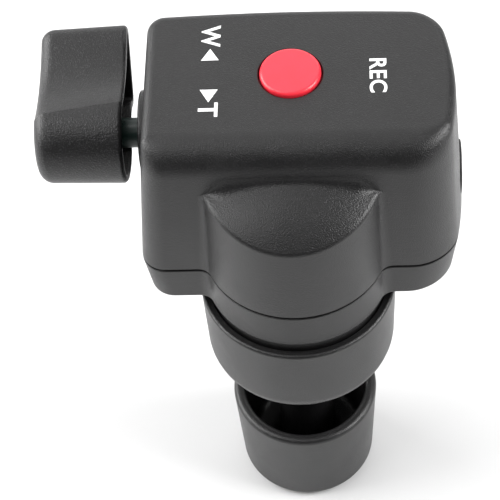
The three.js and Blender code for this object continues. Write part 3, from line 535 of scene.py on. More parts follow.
def print_finish(shade):
    """White pad print with a slightly worn edge."""
    look = Finish("white_print")
    worn = look.between(look.noise(0.0006, 3.0, 0.7), 0.62, 0.8)
    base = look.shade(worn, shade, lighter(shade, 0.72))
    return look.surface(Base_Color=base, Roughness=look.between(worn, 0, 1, 0.45, 0.6), IOR=1.5)


def rubber_finish(shade):
    """Matt rubber with a dusty bloom."""
    look = Finish("rubber")
    bloom = look.between(look.noise(0.0025, 4.0, 0.65), 0.45, 0.75)
    fine = look.noise(0.00025, 2.0, 0.6)
    base = look.shade(bloom, shade, lighter(shade, 1.7))
    return look.surface(
        Base_Color=base, Roughness=look.between(bloom, 0, 1, 0.7, 0.85), IOR=1.45,
        Normal=look.bump(fine, 0.3, 0.00003),
    )


def metal_finish(name, shade, rough, axis):
    """Turned or drawn metal with fine marks along an axis."""
    look = Finish(name)
    stretch = tuple(1.0 if part else 14.0 for part in axis)
    spread = look.node("Mapping", {"vector_type": "POINT"}, {"Vector": look.point, "Scale": stretch})
    marks = look.node("TexNoise", None, {"Vector": spread, "Scale": 900.0, "Detail": 3.0})
    cloud = look.noise(0.003, 3.0, 0.6)
    base = look.mottled(marks * 0.5 + cloud * 0.5, shade, 0.8, 1.1)
    roughness = look.between(marks, to_low=rough - 0.07, to_high=rough + 0.1)
    return look.surface(
        Base_Color=base, Roughness=roughness, Metallic=1.0, Normal=look.bump(marks, 0.2, 0.00002),
    )


def board_finish(shade):
    """Green solder mask over copper tracks."""
    look = Finish("solder_mask")
    inputs = {"Vector": look.point, "Scale": 900.0}
    tracks = look.node("TexBrick", {"offset": 0.5, "squash": 1.0}, {
        **inputs, "Mortar Size": 0.03, "Color1": (0, 0, 0, 1), "Color2": (0, 0, 0, 1), "Mortar": (1, 1, 1, 1),
    }, "Fac")
    base = look.shade(tracks, shade, lighter(shade, 1.8))
    return look.surface(
        Base_Color=base, Roughness=look.between(look.noise(0.002), to_low=0.3, to_high=0.45), IOR=1.5,
        Normal=look.bump(tracks, 0.3, 0.00003),
    )


FINISHES = {}


def make_finishes():
    tones = sizes("remote_colours")
    FINISHES.update({
        "cover": grained_plastic("cover_plastic", tones.black),
        # The knob's painted highlights in its base colour are stronger than the covers'.
        "knob": grained_plastic("knob_plastic", tones.black, grain=0.00034, depth=0.0001, painted_sparkle=11.0),
        "dull": plain_plastic("dull_plastic", lighter(tones.black, 0.8)),
        "shaft": plain_plastic("shaft_plastic", tones.shaft, rough=0.32),
        "red": red_cap_finish(tones.cap_red),
        "print": print_finish(tones.print_white),
        "rubber": rubber_finish(tones.rubber),
        "steel": metal_finish("zinc_steel", tones.steel, 0.32, (0, 0, 1)),
        "brass": metal_finish("turned_brass", tones.brass, 0.3, (0, 0, 1)),
        "board": board_finish(tones.mask),
        "floor": floor_finish(tones.floor),
    })


def floor_finish(shade):
    """Plain pale sweep."""
    look = Finish("studio_floor")
    base = look.shade(look.noise(0.05), lighter(shade, 0.99), shade)
    return look.surface(Base_Color=base, Roughness=0.6)


# Plan of the housing. A station is one place round the plan, the same at every level.


class Plan:
    """The rounded, bowed outline of the housing with the boss in front of it."""

    STEPS = {"corner": 12, "wall": 6, "root": 9, "boss": 84, "side": 12}
    RUNS = (
        # kind, number, whether its shares run backwards
        ("corner", 0, False),
        ("wall", -1, False),
        ("root", -1, True),
        ("boss", 0, False),
        ("root", 1, False),
        ("wall", 1, True),
        ("corner", 1, False),
        ("side", 1, False),
        ("corner", 2, False),
        ("side", 2, False),
        ("corner", 3, False),
        ("side", 3, False),
    )
    EDGE_LEVEL_SHARE = 0.8
    BLEND_REACH = 0.003
    INNER_EDGE_ROUND = 0.0001
    BEND_SPAN_SHARE = 0.45
    BEND_RISE_SHARE = 0.9
    WALL_TRIES = 6
    EDGE_TRIES = 5

    def __init__(self):
        self.housing = sizes("remote_housing")
        self.boss = sizes("remote_boss")
        self.underside = CUP_RIM + self.housing.underside_gap
        self.seam = self.underside + self.housing.lower_height
        self.edge_level = self.seam + self.boss.dome_rise * self.EDGE_LEVEL_SHARE
        self.stations = self.number_stations()

    def number_stations(self):
        """Name the stations once round, from the front left corner to the right."""
        found = []
        for kind, number, backwards in self.RUNS:
            ends = 1 if kind in ("corner", "root") else 0
            for share in shares(self.STEPS[kind], 1 - ends, ends):
                found.append((kind, number, 1 - share if backwards else share))
        return found

    def walls(self, height):
        """Left, right, front and back walls from the stud's axis at a height."""
        h = self.housing
        rise = held((height - self.seam) / (TOP - self.seam))
        drop = held((self.seam - height) / h.lower_height)
        inset = h.foot_inset * drop
        return (
            mix(h.left_at_seam, h.left_at_top, rise) - inset,
            mix(h.right_at_seam, h.right_at_top, rise) - inset,
            mix(h.front_at_seam, h.front_at_top, rise**h.front_swell) - inset / 4,
            mix(h.back_at_seam, h.back_at_top, rise) - inset,
        )

    def front(self, height):
        return self.walls(height)[2]

    def bowed(self, x, y, middle):
        h = self.housing
        if x > 0:
            x_out = x - h.right_bow * ((y - h.right_bow_centre) / h.right_bow_reach) ** 2
        else:
            x_out = x
        y_out = y - h.back_bow * (x / h.back_bow_reach) ** 2 if y > middle else y
        return x_out, y_out

    def corner(self, number, share, height, side, ahead):
        """A point on one of the four corner rounds, before the bow."""
        h = self.housing
        left, right, front, back = self.walls(height)
        radius = (h.front_left_round, h.front_right_round, h.back_right_round, h.back_left_round)[number]
        at_right = number in (1, 2)
        at_back = number in (2, 3)
        rx = max(radius - side, h.least_round)
        ry = max(radius - (side if at_back else ahead), h.least_round)
        x = right - side - rx if at_right else side - left + rx
        y = back - side - ry if at_back else ahead - front + ry
        turn = math.pi + math.pi / 2 * (number + share)
        return x + rx * math.cos(turn), y + ry * math.sin(turn)

    def outline(self, station, height, side=0.0, ahead=0.0):
        """A point on the outline of the housing without its boss."""
        kind, number, share = station
        front = ahead - self.front(height)
        middle = (front + self.walls(height)[3]) / 2
        if kind == "corner":
            return self.bowed(*self.corner(number, share, height, side, ahead), middle)
        if kind == "side":
            start = self.corner(number, 1, height, side, ahead)
            end = self.corner((number + 1) % 4, 0, height, side, ahead)
            return self.bowed(mix(start[0], end[0], share), mix(start[1], end[1], share), middle)
        if kind == "wall":
            near = 0 if number < 0 else 1
            end = self.bowed(*self.corner(near, 1 - near, height, side, ahead), middle)
            return mix(end[0], number * self.root_reach(height, 0), share), front
        return self.boss_outline(station, height, 0)[0], front

    def boss_rounds(self, height, inset):
        """Radius of the boss and of its root rounds at a height."""
        rise = held((height - self.seam) / self.boss.dome_rise)
        radius = self.boss.radius - self.boss.draft * rise
        return radius - inset, mix(self.boss.root_round, self.boss.root_round_high, rise) + inset

    def root_reach(self, height, inset):
        """Where the root round ends on the front wall, from the stud's axis."""
        radius, rounding = self.boss_rounds(height, inset)
        return math.sqrt((radius + rounding) ** 2 - (self.front(height) - inset + rounding) ** 2)

    def boss_outline(self, station, height, inset):
        """A point on the outline of the boss or of its root rounds."""
        kind, number, share = station
        radius, rounding = self.boss_rounds(height, inset)
        across = self.root_reach(height, inset)
        centre = -(self.front(height) - inset + rounding)
        meet = math.atan2(-centre, across)
        if kind == "root":
            turn = mix(meet, math.pi / 2, share)
            return number * (across - rounding * math.cos(turn)), centre + rounding * math.sin(turn)
        turn = mix(math.pi + meet, 2 * math.pi - meet, share)
        return radius * math.cos(turn), radius * math.sin(turn)

    def skin(self, station, height, inset):
        """A point of the outer skin below the dome, drawn in by an inset."""
        if station[0] in ("boss", "root"):
            return place(*self.boss_outline(station, height, inset), height)
        return place(*self.outline(station, height, inset, inset), height)

    def dome(self, x, y, inset=0.0):
        """Height of the domed top over a point."""
        b = self.boss
        radius = b.dome_radius - inset
        centre = self.seam + b.dome_rise - b.dome_radius
        return centre + math.sqrt(radius**2 - b.dome_flatness * x**2 - (y - b.dome_behind) ** 2)

    def dome_lean(self, x, y, inset):
        """Angle of the dome's normal above the horizontal."""
        b = self.boss
        above = self.dome(x, y, inset) - (self.seam + b.dome_rise - b.dome_radius)
        return math.atan2(above, math.hypot(b.dome_flatness * x, y - b.dome_behind))

    def on_wall(self, x, inset):
        """Where the dome meets the front wall at a distance along it."""
        height = self.seam + self.boss.dome_rise
        for _ in range(self.WALL_TRIES):
            y = inset - self.front(height)
            height = self.dome(x, y, inset)
        return y, height

    def column(self, station, level, inset=0.0):
        """A point of the upper cover's skin; level is a stage and a share of it."""
        stage, share = level
        kind = station[0]
        if stage == "crown":
            return self.crown(station, share, inset)
        if kind in ("boss", "root"):
            return self.boss_column(station, stage, share, inset)
        low = self.seam + self.housing.seam_gap / 2
        reach = self.root_reach(self.seam + self.boss.dome_rise, inset)
        middle = self.on_wall(reach, inset)[1]
        x, y = self.outline(station, middle, inset, inset)
        off_wall = 0 if kind == "wall" else abs(y + self.front(middle))
        spread = min(self.BLEND_REACH, abs(abs(x) - reach) + off_wall)
        crown = TOP - self.housing.front_top_round
        heights = {
            "skirt": (low, middle - spread),
            "edge": (middle - spread, middle - spread / 2),
            "dome": (middle - spread / 2, middle + spread / 2),
            "blend": (middle + spread / 2, middle + spread),
            "front": (middle + spread, crown),
        }
        height = mix(*heights[stage], share)
        return place(*self.outline(station, height, inset, inset), height)

    def boss_column(self, station, stage, share, inset):
        level = self.edge_level
        for _ in range(self.EDGE_TRIES):
            x, y = self.boss_outline(station, level, inset)
            ledge = max(0, self.on_wall(x, inset)[0] - y)
            rounding = min(self.boss.edge_round if inset == 0 else self.INNER_EDGE_ROUND, ledge)
            lean = self.dome_lean(x, y, inset)
            ex, ey = self.boss_outline(station, level, inset + rounding * (1 - math.cos(lean)))
            level = self.dome(ex, ey, inset) - rounding * math.sin(lean)
        if stage == "skirt":
            height = mix(self.seam + self.housing.seam_gap / 2, level, share)
            return place(*self.boss_outline(station, height, inset), height)
        if stage == "edge":
            turn = lean * share
            inward = inset + rounding * (1 - math.cos(turn))
            return place(*self.boss_outline(station, level, inward), level + rounding * math.sin(turn))
        wall_y, wall_height = self.on_wall(ex, inset)
        span = max(0, wall_y - ey)
        crown = TOP - self.housing.front_top_round
        most = min(span * self.BEND_SPAN_SHARE, (crown - wall_height) * self.BEND_RISE_SHARE)
        bend = min(self.boss.wall_blend, most)
        if stage == "dome":
            y = mix(ey, wall_y - bend, share)
            return place(ex, y, self.dome(ex, y, inset))
        top_of_bend = wall_height + bend
        if stage == "blend":
            first = place(ex, wall_y - bend, self.dome(ex, wall_y - bend, inset))
            corner = place(ex, wall_y, wall_height)
            last = place(ex, inset - self.front(top_of_bend), top_of_bend)
            return curve(first, corner, last, share)
        height = mix(top_of_bend, crown, share)
        return place(ex, inset - self.front(height), height)

    def crown(self, station, share, inset):
        """The rounded top edges, from the walls to the flat top."""
        h = self.housing
        ceiling = TOP - inset
        front_round = h.front_top_round - inset
        side_round = max(h.side_top_round - inset, h.least_round)
        height = ceiling - front_round * (1 - math.sin(math.pi / 2 * share))

        def drawn(rounding):
            rise = held((height - ceiling + rounding) / rounding)
            return rounding * (1 - math.sqrt(1 - rise**2))

        ahead = inset + drawn(front_round)
        kind = station[0]
        if kind in ("boss", "root"):
            x = self.boss_outline(station, self.edge_level, inset)[0]
            return place(x, ahead - self.front(height), height)
        return place(*self.outline(station, height, inset + drawn(side_round), ahead), height)


EDGE_STEPS = 8


def upper_levels(steps, crown_steps):
    """Stages of the skin from the seam to the flat top."""
    counts = {"skirt": steps, "edge": EDGE_STEPS, "dome": 2 * steps, "blend": EDGE_STEPS, "front": steps,
              "crown": crown_steps}
    stages = [("skirt", 0.0)]
    for stage, count in counts.items():
        stages += [(stage, share) for share in shares(count, 1)]
    return stages


# Pieces


class REMOTE_OT_upper_cover(bpy.types.Operator):
    """Model the upper cover with its boss, dome and button hole"""

    bl_idname = "remote.upper_cover"
    bl_label = "Upper cover"

    HOLE_RADIUS = 0.0063
    HOLE_ROUND = 0.00035
    SOCKET_HOLE = 0.0043
    SHAFT_HOLE = 0.0053
    SIDE_HOLE_DEEP = 0.01
    SIDE_HOLE_STEPS = 64
    OUTER_STEPS = (6, 14)
    INNER_STEPS = (2, 6)
    LIP_STEPS = 3
    HOLE_STEPS = 4

    def execute(self, context):
        plan = Plan()
        h = plan.housing
        centre_x = (BUTTON_LOW.x + BUTTON_HIGH.x) / 2
        centre_y = behind((BUTTON_LOW.y + BUTTON_HIGH.y) / 2)
        lip = [("lip", turn) for turn in quarter(self.LIP_STEPS)]
        levels = lip + [("out", stage) for stage in upper_levels(*self.OUTER_STEPS)[1:]]
        for turn in quarter(self.HOLE_STEPS):
            radius = self.HOLE_RADIUS + self.HOLE_ROUND * (1 - math.sin(turn))
            levels.append(("hole", (radius, TOP - self.HOLE_ROUND * (1 - math.cos(turn)))))
        levels.append(("hole", (self.HOLE_RADIUS, TOP - h.wall)))
        levels += [("in", stage) for stage in reversed(upper_levels(*self.INNER_STEPS))]
        levels.append(lip[0])

        def spot(station, level):
            side, value = level
            if side == "out":
                return plan.column(station, value)
            if side == "lip":
                height = plan.seam + h.seam_gap / 2 + h.seam_round * (1 - math.cos(value))
                return plan.skin(station, height, h.seam_round * (1 - math.sin(value)))
            if side == "in":
                return plan.column(station, value, h.wall)
            rim = plan.column(station, ("crown", 1)) - place(centre_x, centre_y, 0)
            turn = math.atan2(rim.y, rim.x)
            radius, height = value
            return place(centre_x + radius * math.cos(turn), centre_y + radius * math.sin(turn), height)

        cover = as_object(tidy(loft(plan.stations, levels, spot)), "housing_top")
        socket = (BEZEL_LOW + BEZEL_HIGH) / 2
        deep = self.SIDE_HOLE_DEEP
        holes = [
            (self.SOCKET_HOLE, Vector((BEZEL_HIGH.x - deep, socket.y, socket.z))),
            (self.SHAFT_HOLE, place(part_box("shaft_bearing")[0].x, SHAFT_BEHIND, SHAFT_UP)),
        ]
        steps = []
        for radius, start in holes:
            steps.append(("DIFFERENCE", move(rod(radius, 0, deep, self.SIDE_HOLE_STEPS), start, ALONG_X)))
        carve(cover, steps)
        finish(cover, "housing", FINISHES["cover"], ["upper_cover"])
        return {"FINISHED"}


class REMOTE_OT_lower_cover(bpy.types.Operator):
    """Model the lower cover with its lip, guide, saddle and screw recesses"""

    bl_idname = "remote.lower_cover"
    bl_label = "Lower cover"

    LIP_HEIGHT = 0.0018
    LIP_THICK = 0.001
    LIP_GAP = 0.0003
    SEAM_STEPS = 3
    WALL_STEPS = 4
    FOOT_STEPS = 7
    BOSS_FOOT_ROUND = 0.0006
    SADDLE_HALF = 0.0093
    SADDLE_RISE = 0.00305
    SADDLE_SLOPE = math.radians(15)
    POCKET_EXTRA = 0.00115
    POCKET_HALF = 0.0089
    POCKET_LENGTH = 0.0133
    RECESS_RADIUS = 0.0028
    RECESS_DEPTH = 0.0036
    RECESS_STEPS = 40
    GUIDE_ROUND = 0.0005
    GUIDE_SUNK = 0.001

    def execute(self, context):
        plan = Plan()
        h = plan.housing
        high = plan.seam - h.seam_gap / 2
        foot = plan.underside
        well = h.wall + self.LIP_GAP
        levels = [("flat", h.wall + self.LIP_THICK + self.LIP_GAP, high + self.LIP_HEIGHT)]
        levels += [("flat", well, high + self.LIP_HEIGHT), ("flat", well, high), ("flat", h.seam_round, high)]
        for turn in quarter(self.SEAM_STEPS, 1):
            drop = h.seam_round * (1 - math.cos(turn))
            levels.append(("flat", h.seam_round * (1 - math.sin(turn)), high - drop))
        for share in shares(self.WALL_STEPS, 1):
            levels.append(("flat", 0, mix(high - h.seam_round, foot + h.foot_round, share)))
        levels += [("foot", turn, 0) for turn in quarter(self.FOOT_STEPS, 1)]

        def spot(station, level):
            stage, inset, height = level
            if stage == "foot":
                turn = inset
                rounding = h.foot_round
                if station[0] == "boss":
                    rounding = self.BOSS_FOOT_ROUND
                elif station[0] == "root":
                    rounding = mix(self.BOSS_FOOT_ROUND, h.foot_round, station[2])
                height = foot + rounding * (1 - math.sin(turn))
                inset = rounding * (1 - math.cos(turn))
            return plan.skin(station, height, inset)

        shape = loft(plan.stations, levels, spot)
        close_ends(shape)
        cover = as_object(tidy(shape), "housing_base")
        slope = math.tan(self.SADDLE_SLOPE)
        bar = -FOOT.y
        wide = 2 * h.right_at_seam

        def vee(rise, half, reach):
            edge = foot + rise - half * slope
            corners = [(bar - half, foot - h.wall), (bar + half, foot - h.wall), (bar + half, edge),
                       (bar, foot + rise), (bar - half, edge)]
            return tidy(prism_x(corners, -reach, reach))

        steps = [
            ("DIFFERENCE", vee(self.SADDLE_RISE, self.SADDLE_HALF, wide)),
            ("DIFFERENCE", vee(self.SADDLE_RISE + self.POCKET_EXTRA, self.POCKET_HALF, self.POCKET_LENGTH)),
        ]
        for number in range(1, 5):
            low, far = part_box(f"housing_screw_{number}")
            recess = rod(self.RECESS_RADIUS, -h.wall, self.RECESS_DEPTH, self.RECESS_STEPS)
            middle = (low + far) / 2
            move(recess, Vector((middle.x, middle.y, FOOT.z + foot)))
            steps.append(("DIFFERENCE", recess))
        carve(cover, steps)
        finish(cover, "housing", FINISHES["cover"], ["lower_cover"])
        self.guide(plan)
        return {"FINISHED"}

    def guide(self, plan):
        """The D-shaped guide that the jaw slides on."""
        b = plan.boss
        foot = plan.underside - b.guide_length
        guide = rod(b.guide_radius, foot, plan.underside + self.GUIDE_SUNK, 96, self.GUIDE_ROUND)
        shape = d_shaped(guide, b.guide_flat)
        finish(as_object(shape, "boss_guide"), "housing", FINISHES["cover"])


class REMOTE_OT_record_button(bpy.types.Operator):
    """Model the record button's cap, skirt and stem"""

    bl_idname = "remote.record_button"
    bl_label = "Record button"

    RADIUS = 0.00605
    EDGE = 0.0008
    CROWN = 0.00012
    CROWN_RADIUS_SHARE = 0.5
    CROWN_RISE_SHARE = 0.3
    STEM_RADIUS = 0.0021
    SMALL_ROUND = 0.0002
    FLANGE_THICK = 0.001
    FLANGE_GAP = 0.00005

    def execute(self, context):
        centre = (BUTTON_LOW + BUTTON_HIGH) / 2
        flange = (BUTTON_HIGH.x - BUTTON_LOW.x) / 2
        face = BUTTON_HIGH.z
        rim = UPPER_HIGH.z - sizes("remote_housing").wall - self.FLANGE_GAP
        low = rim - self.FLANGE_THICK
        edge = self.SMALL_ROUND
        shape = turned([
            (0, BUTTON_LOW.z, 0), (self.STEM_RADIUS, BUTTON_LOW.z, edge), (self.STEM_RADIUS, low, 0),
            (flange, low, edge), (flange, rim, edge), (self.RADIUS, rim, 0),
            (self.RADIUS, face - self.CROWN, self.EDGE),
            (self.RADIUS * self.CROWN_RADIUS_SHARE, face - self.CROWN * self.CROWN_RISE_SHARE, 0),
            (0, face, 0),
        ], 96, round_steps=8)
        move(shape, Vector((centre.x, centre.y, 0)))
        cap = as_object(shape, "record_cap")
        finish(cap, "record_key", FINISHES["red"], ["record_button"])
        return {"FINISHED"}


class REMOTE_OT_thumb_knob(bpy.types.Operator):
    """Model the hollow thumb knob with its dished top"""

    bl_idname = "remote.thumb_knob"
    bl_label = "Thumb knob"

    WALL = 0.0017
    END_WALL = 0.002
    END_ROUND = 0.0028
    RIM_ROUND = 0.0009
    RIM_INNER_ROUND = 0.0004
    TAPER = 0.967
    UPPER_CREASE = (106.5, 91)
    UNDER_CREASE = (271.5, 287)
    CREST_TURN = 108
    HEEL_TURN = 250
    HUB = 0.0102
    CREST = (0.019, 0.00765)
    HEEL = (0.0134, -0.0045)
    TIP_ROUND = 0.0026
    DISH = 0.002
    UNDER_DISH = 0.0027
    HUB_OUTER = 0.0054
    HUB_RECESS = 0.0024
    HUB_STEPS = 56
    DISH_STEPS = 20
    TIP_STEPS = 12
    EDGE_STEPS = 8
    LENGTH_STEPS = 8
    INSIDE_STEPS = 3
    INNER_CORNER = 0.0006
    BORE_GAP = 0.0001
    BORE_ROUND = 0.0003
    HUB_ROUND = 0.0005
    HUB_SUNK = 0.0004

    def outline(self, share):
        """The knob's side view about its shaft, from the upper crease round the hub and back."""
        upper, under = (mix(*pair, share) for pair in (self.UPPER_CREASE, self.UNDER_CREASE))
        face = math.degrees(math.atan2(self.HEEL[0] - self.CREST[0], self.CREST[1] - self.HEEL[1]))
        hub = self.arc((0, 0), self.HUB, upper, under, self.HUB_STEPS)
        heel = self.arc(self.HEEL, self.TIP_ROUND, self.HEEL_TURN, 360 + face, self.TIP_STEPS)
        crest = self.arc(self.CREST, self.TIP_ROUND, face, self.CREST_TURN, self.TIP_STEPS)
        points = hub + self.hollow(hub[-1], heel[0], self.UNDER_DISH) + heel + crest
        points += self.hollow(crest[-1], hub[0], -self.DISH)
        return [point * mix(self.TAPER, 1, share) for point in points]

    def arc(self, centre, radius, start, end, steps):
        turns = [math.radians(mix(start, end, share)) for share in shares(steps)]
        return [Vector(centre) + radius * Vector((math.cos(turn), math.sin(turn))) for turn in turns]

    def hollow(self, first, last, rise):
        over = (first + last) / 2 + Vector((0, 2 * rise))
        return [curve(first, over, last, share) for share in shares(self.DISH_STEPS, 1, 0)]

    def ring(self, along, inset):
        """Points at a distance from the knob's outer end, drawn in by an inset."""
        outline = self.outline(along / (THUMB_HIGH.x - THUMB_LOW.x))
        ring = []
        for i, point in enumerate(outline):
            ahead = (outline[(i + 1) % len(outline)] - point).normalized()
            back = (point - outline[i - 1]).normalized()
            first, second = Vector((-back.y, back.x)), Vector((-ahead.y, ahead.x))
            moved = point + (first + second) * (inset / (1 + first.dot(second)))
            ring.append(place(THUMB_LOW.x + along, SHAFT_BEHIND + moved.x, SHAFT_UP + moved.y))
        return ring

    def execute(self, context):
        width = THUMB_HIGH.x - THUMB_LOW.x
        turns = quarter(self.EDGE_STEPS)
        end, outer, inner = self.END_ROUND, self.RIM_ROUND, self.RIM_INNER_ROUND
        levels = [(end * (1 - math.cos(t)), end * (1 - math.sin(t))) for t in turns]
        levels += [(mix(end, width - outer, share), 0) for share in shares(self.LENGTH_STEPS, 1)]
        levels += [(width - outer * (1 - math.sin(t)), outer * (1 - math.cos(t))) for t in turns[1:]]
        for t in turns[::2]:
            levels.append((width - inner * (1 - math.cos(t)), self.WALL - inner * (1 - math.sin(t))))
        for share in shares(self.INSIDE_STEPS, 1):
            levels.append((mix(width - inner, self.END_WALL + self.INNER_CORNER, share), self.WALL))
        levels.append((self.END_WALL, self.WALL + self.INNER_CORNER))
        rings = [self.ring(along, inset) for along, inset in levels]
        shape = loft(range(len(rings[0])), range(len(rings)), lambda station, level: rings[level][station])
        close_ends(shape)
        tidy(shape)
        bore = SHAFT_RADIUS + self.BORE_GAP
        hub_end = THUMB_HIGH.x - self.HUB_RECESS
        hub_foot = THUMB_LOW.x + self.END_WALL - self.HUB_SUNK
        hub = turned([
            (bore, hub_end, self.BORE_ROUND), (self.HUB_OUTER, hub_end, self.HUB_ROUND),
            (self.HUB_OUTER, hub_foot, 0), (bore, hub_foot, 0),
        ], 64, closed=True)
        add_to(shape, move(hub, place(0, SHAFT_BEHIND, SHAFT_UP), ALONG_X))
        knob = as_object(shape, "thumb_knob")
        finish(knob, "thumb_knob", FINISHES["knob"], ["zoom_knob"], sharp=22)
        return {"FINISHED"}


class REMOTE_OT_shaft_fittings(bpy.types.Operator):
    """Model the shaft, its bearing and the collar on the left wall"""

    bl_idname = "remote.shaft_fittings"
    bl_label = "Shaft, bearing and collar"

    COLLAR_RADIUS = 0.0086
    COLLAR_ROUND = 0.0005
    FLANGE_RADIUS = 0.0064
    FLANGE_THICK = 0.001
    FLANGE_ROUND = 0.0003
    BUSH_RADIUS = 0.005
    SHAFT_ROUND = 0.0004
    BORE_GAP = 0.0002
    BORE_ROUND = 0.0002
    WELL_GAP = 0.0003
    COLLAR_DEPTH = 0.004

    def execute(self, context):
        low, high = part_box("shaft_bearing")
        centre = place(0, SHAFT_BEHIND, SHAFT_UP)
        shaft = rod(SHAFT_RADIUS, SHAFT_LOW.x, SHAFT_HIGH.x, 64, self.SHAFT_ROUND, self.SHAFT_ROUND)
        finish(as_object(move(shaft, centre, ALONG_X), "thumb_shaft"), "thumb_knob",
               FINISHES["shaft"], ["zoom_shaft"])
        bore = SHAFT_RADIUS + self.BORE_GAP
        step = low.x + self.FLANGE_THICK
        bush = turned([
            (bore, low.x, self.BORE_ROUND), (self.FLANGE_RADIUS, low.x, self.FLANGE_ROUND),
            (self.FLANGE_RADIUS, step, 0), (self.BUSH_RADIUS, step, 0), (self.BUSH_RADIUS, high.x, 0),
            (bore, high.x, 0),
        ], 64, closed=True)
        finish(as_object(move(bush, centre, ALONG_X), "shaft_bush"), "housing",
               FINISHES["dull"], ["shaft_bearing"])
        well = self.FLANGE_RADIUS + self.WELL_GAP
        end = low.x + self.COLLAR_DEPTH
        collar = turned([
            (well, low.x, self.FLANGE_ROUND), (self.COLLAR_RADIUS, low.x, self.COLLAR_ROUND),
            (self.COLLAR_RADIUS, end, 0), (well, end, 0),
        ], 80, closed=True)
        finish(as_object(move(collar, centre, ALONG_X), "shaft_collar"), "housing",
               FINISHES["cover"])
        return {"FINISHED"}


class REMOTE_OT_socket_bezel(bpy.types.Operator):
    """Model the bezel round the cable socket"""

    bl_idname = "remote.socket_bezel"
    bl_label = "Socket bezel"

    ENTRY_RADIUS = 0.00195
    BODY_RADIUS = 0.0042
    FLANGE_RADIUS = 0.0058
    FLANGE_DEPTH = 0.0014
    ROUND = 0.0003
    SINK = 0.0004
    ENTRY_FLARE = 1.6
    ENTRY_DEPTH_SHARE = 0.3

    def execute(self, context):
        centre = (BEZEL_LOW + BEZEL_HIGH) / 2
        face = BEZEL_HIGH.x - self.SINK
        back = face - self.FLANGE_DEPTH
        entry = self.ENTRY_RADIUS
        bezel = turned([
            (entry, BEZEL_LOW.x, 0), (self.BODY_RADIUS, BEZEL_LOW.x, 0), (self.BODY_RADIUS, back, 0),
            (self.FLANGE_RADIUS, back, 0), (self.FLANGE_RADIUS, face, self.ROUND),
            (entry * self.ENTRY_FLARE, face, self.ROUND / 2),
            (entry, face - entry * self.ENTRY_DEPTH_SHARE, 0),
        ], 72, closed=True)
        move(bezel, Vector((0, centre.y, centre.z)), ALONG_X)
        finish(as_object(bezel, "jack_bezel"), "housing", FINISHES["dull"], ["socket_bezel"])
        return {"FINISHED"}


class REMOTE_OT_jaw(bpy.types.Operator):
    """Model the jaw cup with its arm, vee and pads"""

    bl_idname = "remote.jaw"
    bl_label = "Jaw and pads"

    RIM_RADIUS = 0.0204
    LOW_RADIUS = 0.0199
    FOOT_ROUND = 0.0056
    LIP_ROUND = 0.0007
    POCKET_RADIUS = 0.0188
    POCKET_FLAT = 0.0049
    POCKET_DEPTH = 0.0128
    ARM_HALF = 0.014
    ARM_REAR = 0.0324
    ARM_RISE = 0.0034
    ARM_ROUND = 0.005
    STUD_HOLE = 0.0034
    VEE_DEPTH = 0.0108
    VEE_SET_BACK = 0.0005
    VEE_REACH = 0.03
    OVERRUN = 0.001
    PADS = ("jaw_pad_front", "jaw_pad_rear")
    PAD_THICK = 0.0012
    PAD_ROUND = 0.00015
    PAD_GAP = 0.0003
    PAD_RIBS = 9
    RIB_SHARE = 0.28
    RIB_SUNK_SHARE = 0.1

    def execute(self, context):
        rim, foot = CUP_RIM, CUP_FOOT
        cup = turned([
            (0, foot, 0), (self.LOW_RADIUS, foot, self.FOOT_ROUND), (self.RIM_RADIUS, rim, self.LIP_ROUND),
            (0, rim, 0),
        ], 128, round_steps=10)
        move(cup, FOOT)
        arm_low = foot + self.ARM_RISE
        corners = [(0, arm_low), (self.ARM_REAR, arm_low), (self.ARM_REAR, rim), (0, rim)]
        arm = prism_x(corners, -self.ARM_HALF, self.ARM_HALF)
        middle = FOOT.y + self.ARM_REAR / 2
        for height, rounding in ((arm_low, self.ARM_ROUND), (rim, self.LIP_ROUND)):
            level = FOOT.z + height
            ends = [vert for vert in arm.verts if vert.co.y > middle and abs(vert.co.z - level) < 1e-6]
            bevel(arm, [edge for edge in arm.edges if all(vert in ends for vert in edge.verts)], rounding, 8)
        bar = -FOOT.y
        over = rim + self.OVERRUN
        apex = rim - self.VEE_DEPTH - self.VEE_SET_BACK
        rise = over - apex
        vee = prism_x([(bar, apex), (bar + rise, apex + rise), (bar - rise, apex + rise)],
                      -self.VEE_REACH, self.VEE_REACH)
        pocket = d_shaped(rod(self.POCKET_RADIUS, rim - self.POCKET_DEPTH, over, 96), self.POCKET_FLAT)
        hole = rod(self.STUD_HOLE, foot - self.OVERRUN, rim, 48)
        cutters = [pocket, tidy(vee), move(hole, FOOT)]
        cutters += [self.pad_shape(node, self.PAD_GAP, 0) for node in self.PADS]
        jaw = as_object(cup, "jaw_cup")
        carve(jaw, [("UNION", tidy(arm))] + [("DIFFERENCE", cutter) for cutter in cutters])
        finish(jaw, "jaw", FINISHES["cover"], ["clamp_jaw"])
        for node in self.PADS:
            pad = as_object(self.pad_shape(node, 0, self.PAD_RIBS), node.replace("jaw", "grip"))
            finish(pad, "jaw", FINISHES["rubber"], [node])
        return {"FINISHED"}

    def pad_shape(self, node, grow, ribs):
        """A strip on one flank of the vee; ribs run along the bar."""
        low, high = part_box(node)
        middle = (low + high) / 2
        half_length = (high.x - low.x) / 2
        along = (high.z - low.z) * math.sqrt(2) - self.PAD_THICK
        span = Vector((half_length + grow, along / 2 + grow, self.PAD_THICK / 2 + grow))
        shape = box_shape(-span, span, self.PAD_ROUND if ribs else 0)
        add_ribs(shape, span, ribs, self.RIB_SHARE, 1, self.RIB_SUNK_SHARE)
        return move(shape, middle, Matrix.Rotation(math.copysign(math.pi / 4, middle.y), 4, "X"))


RIB_END = 0.0006


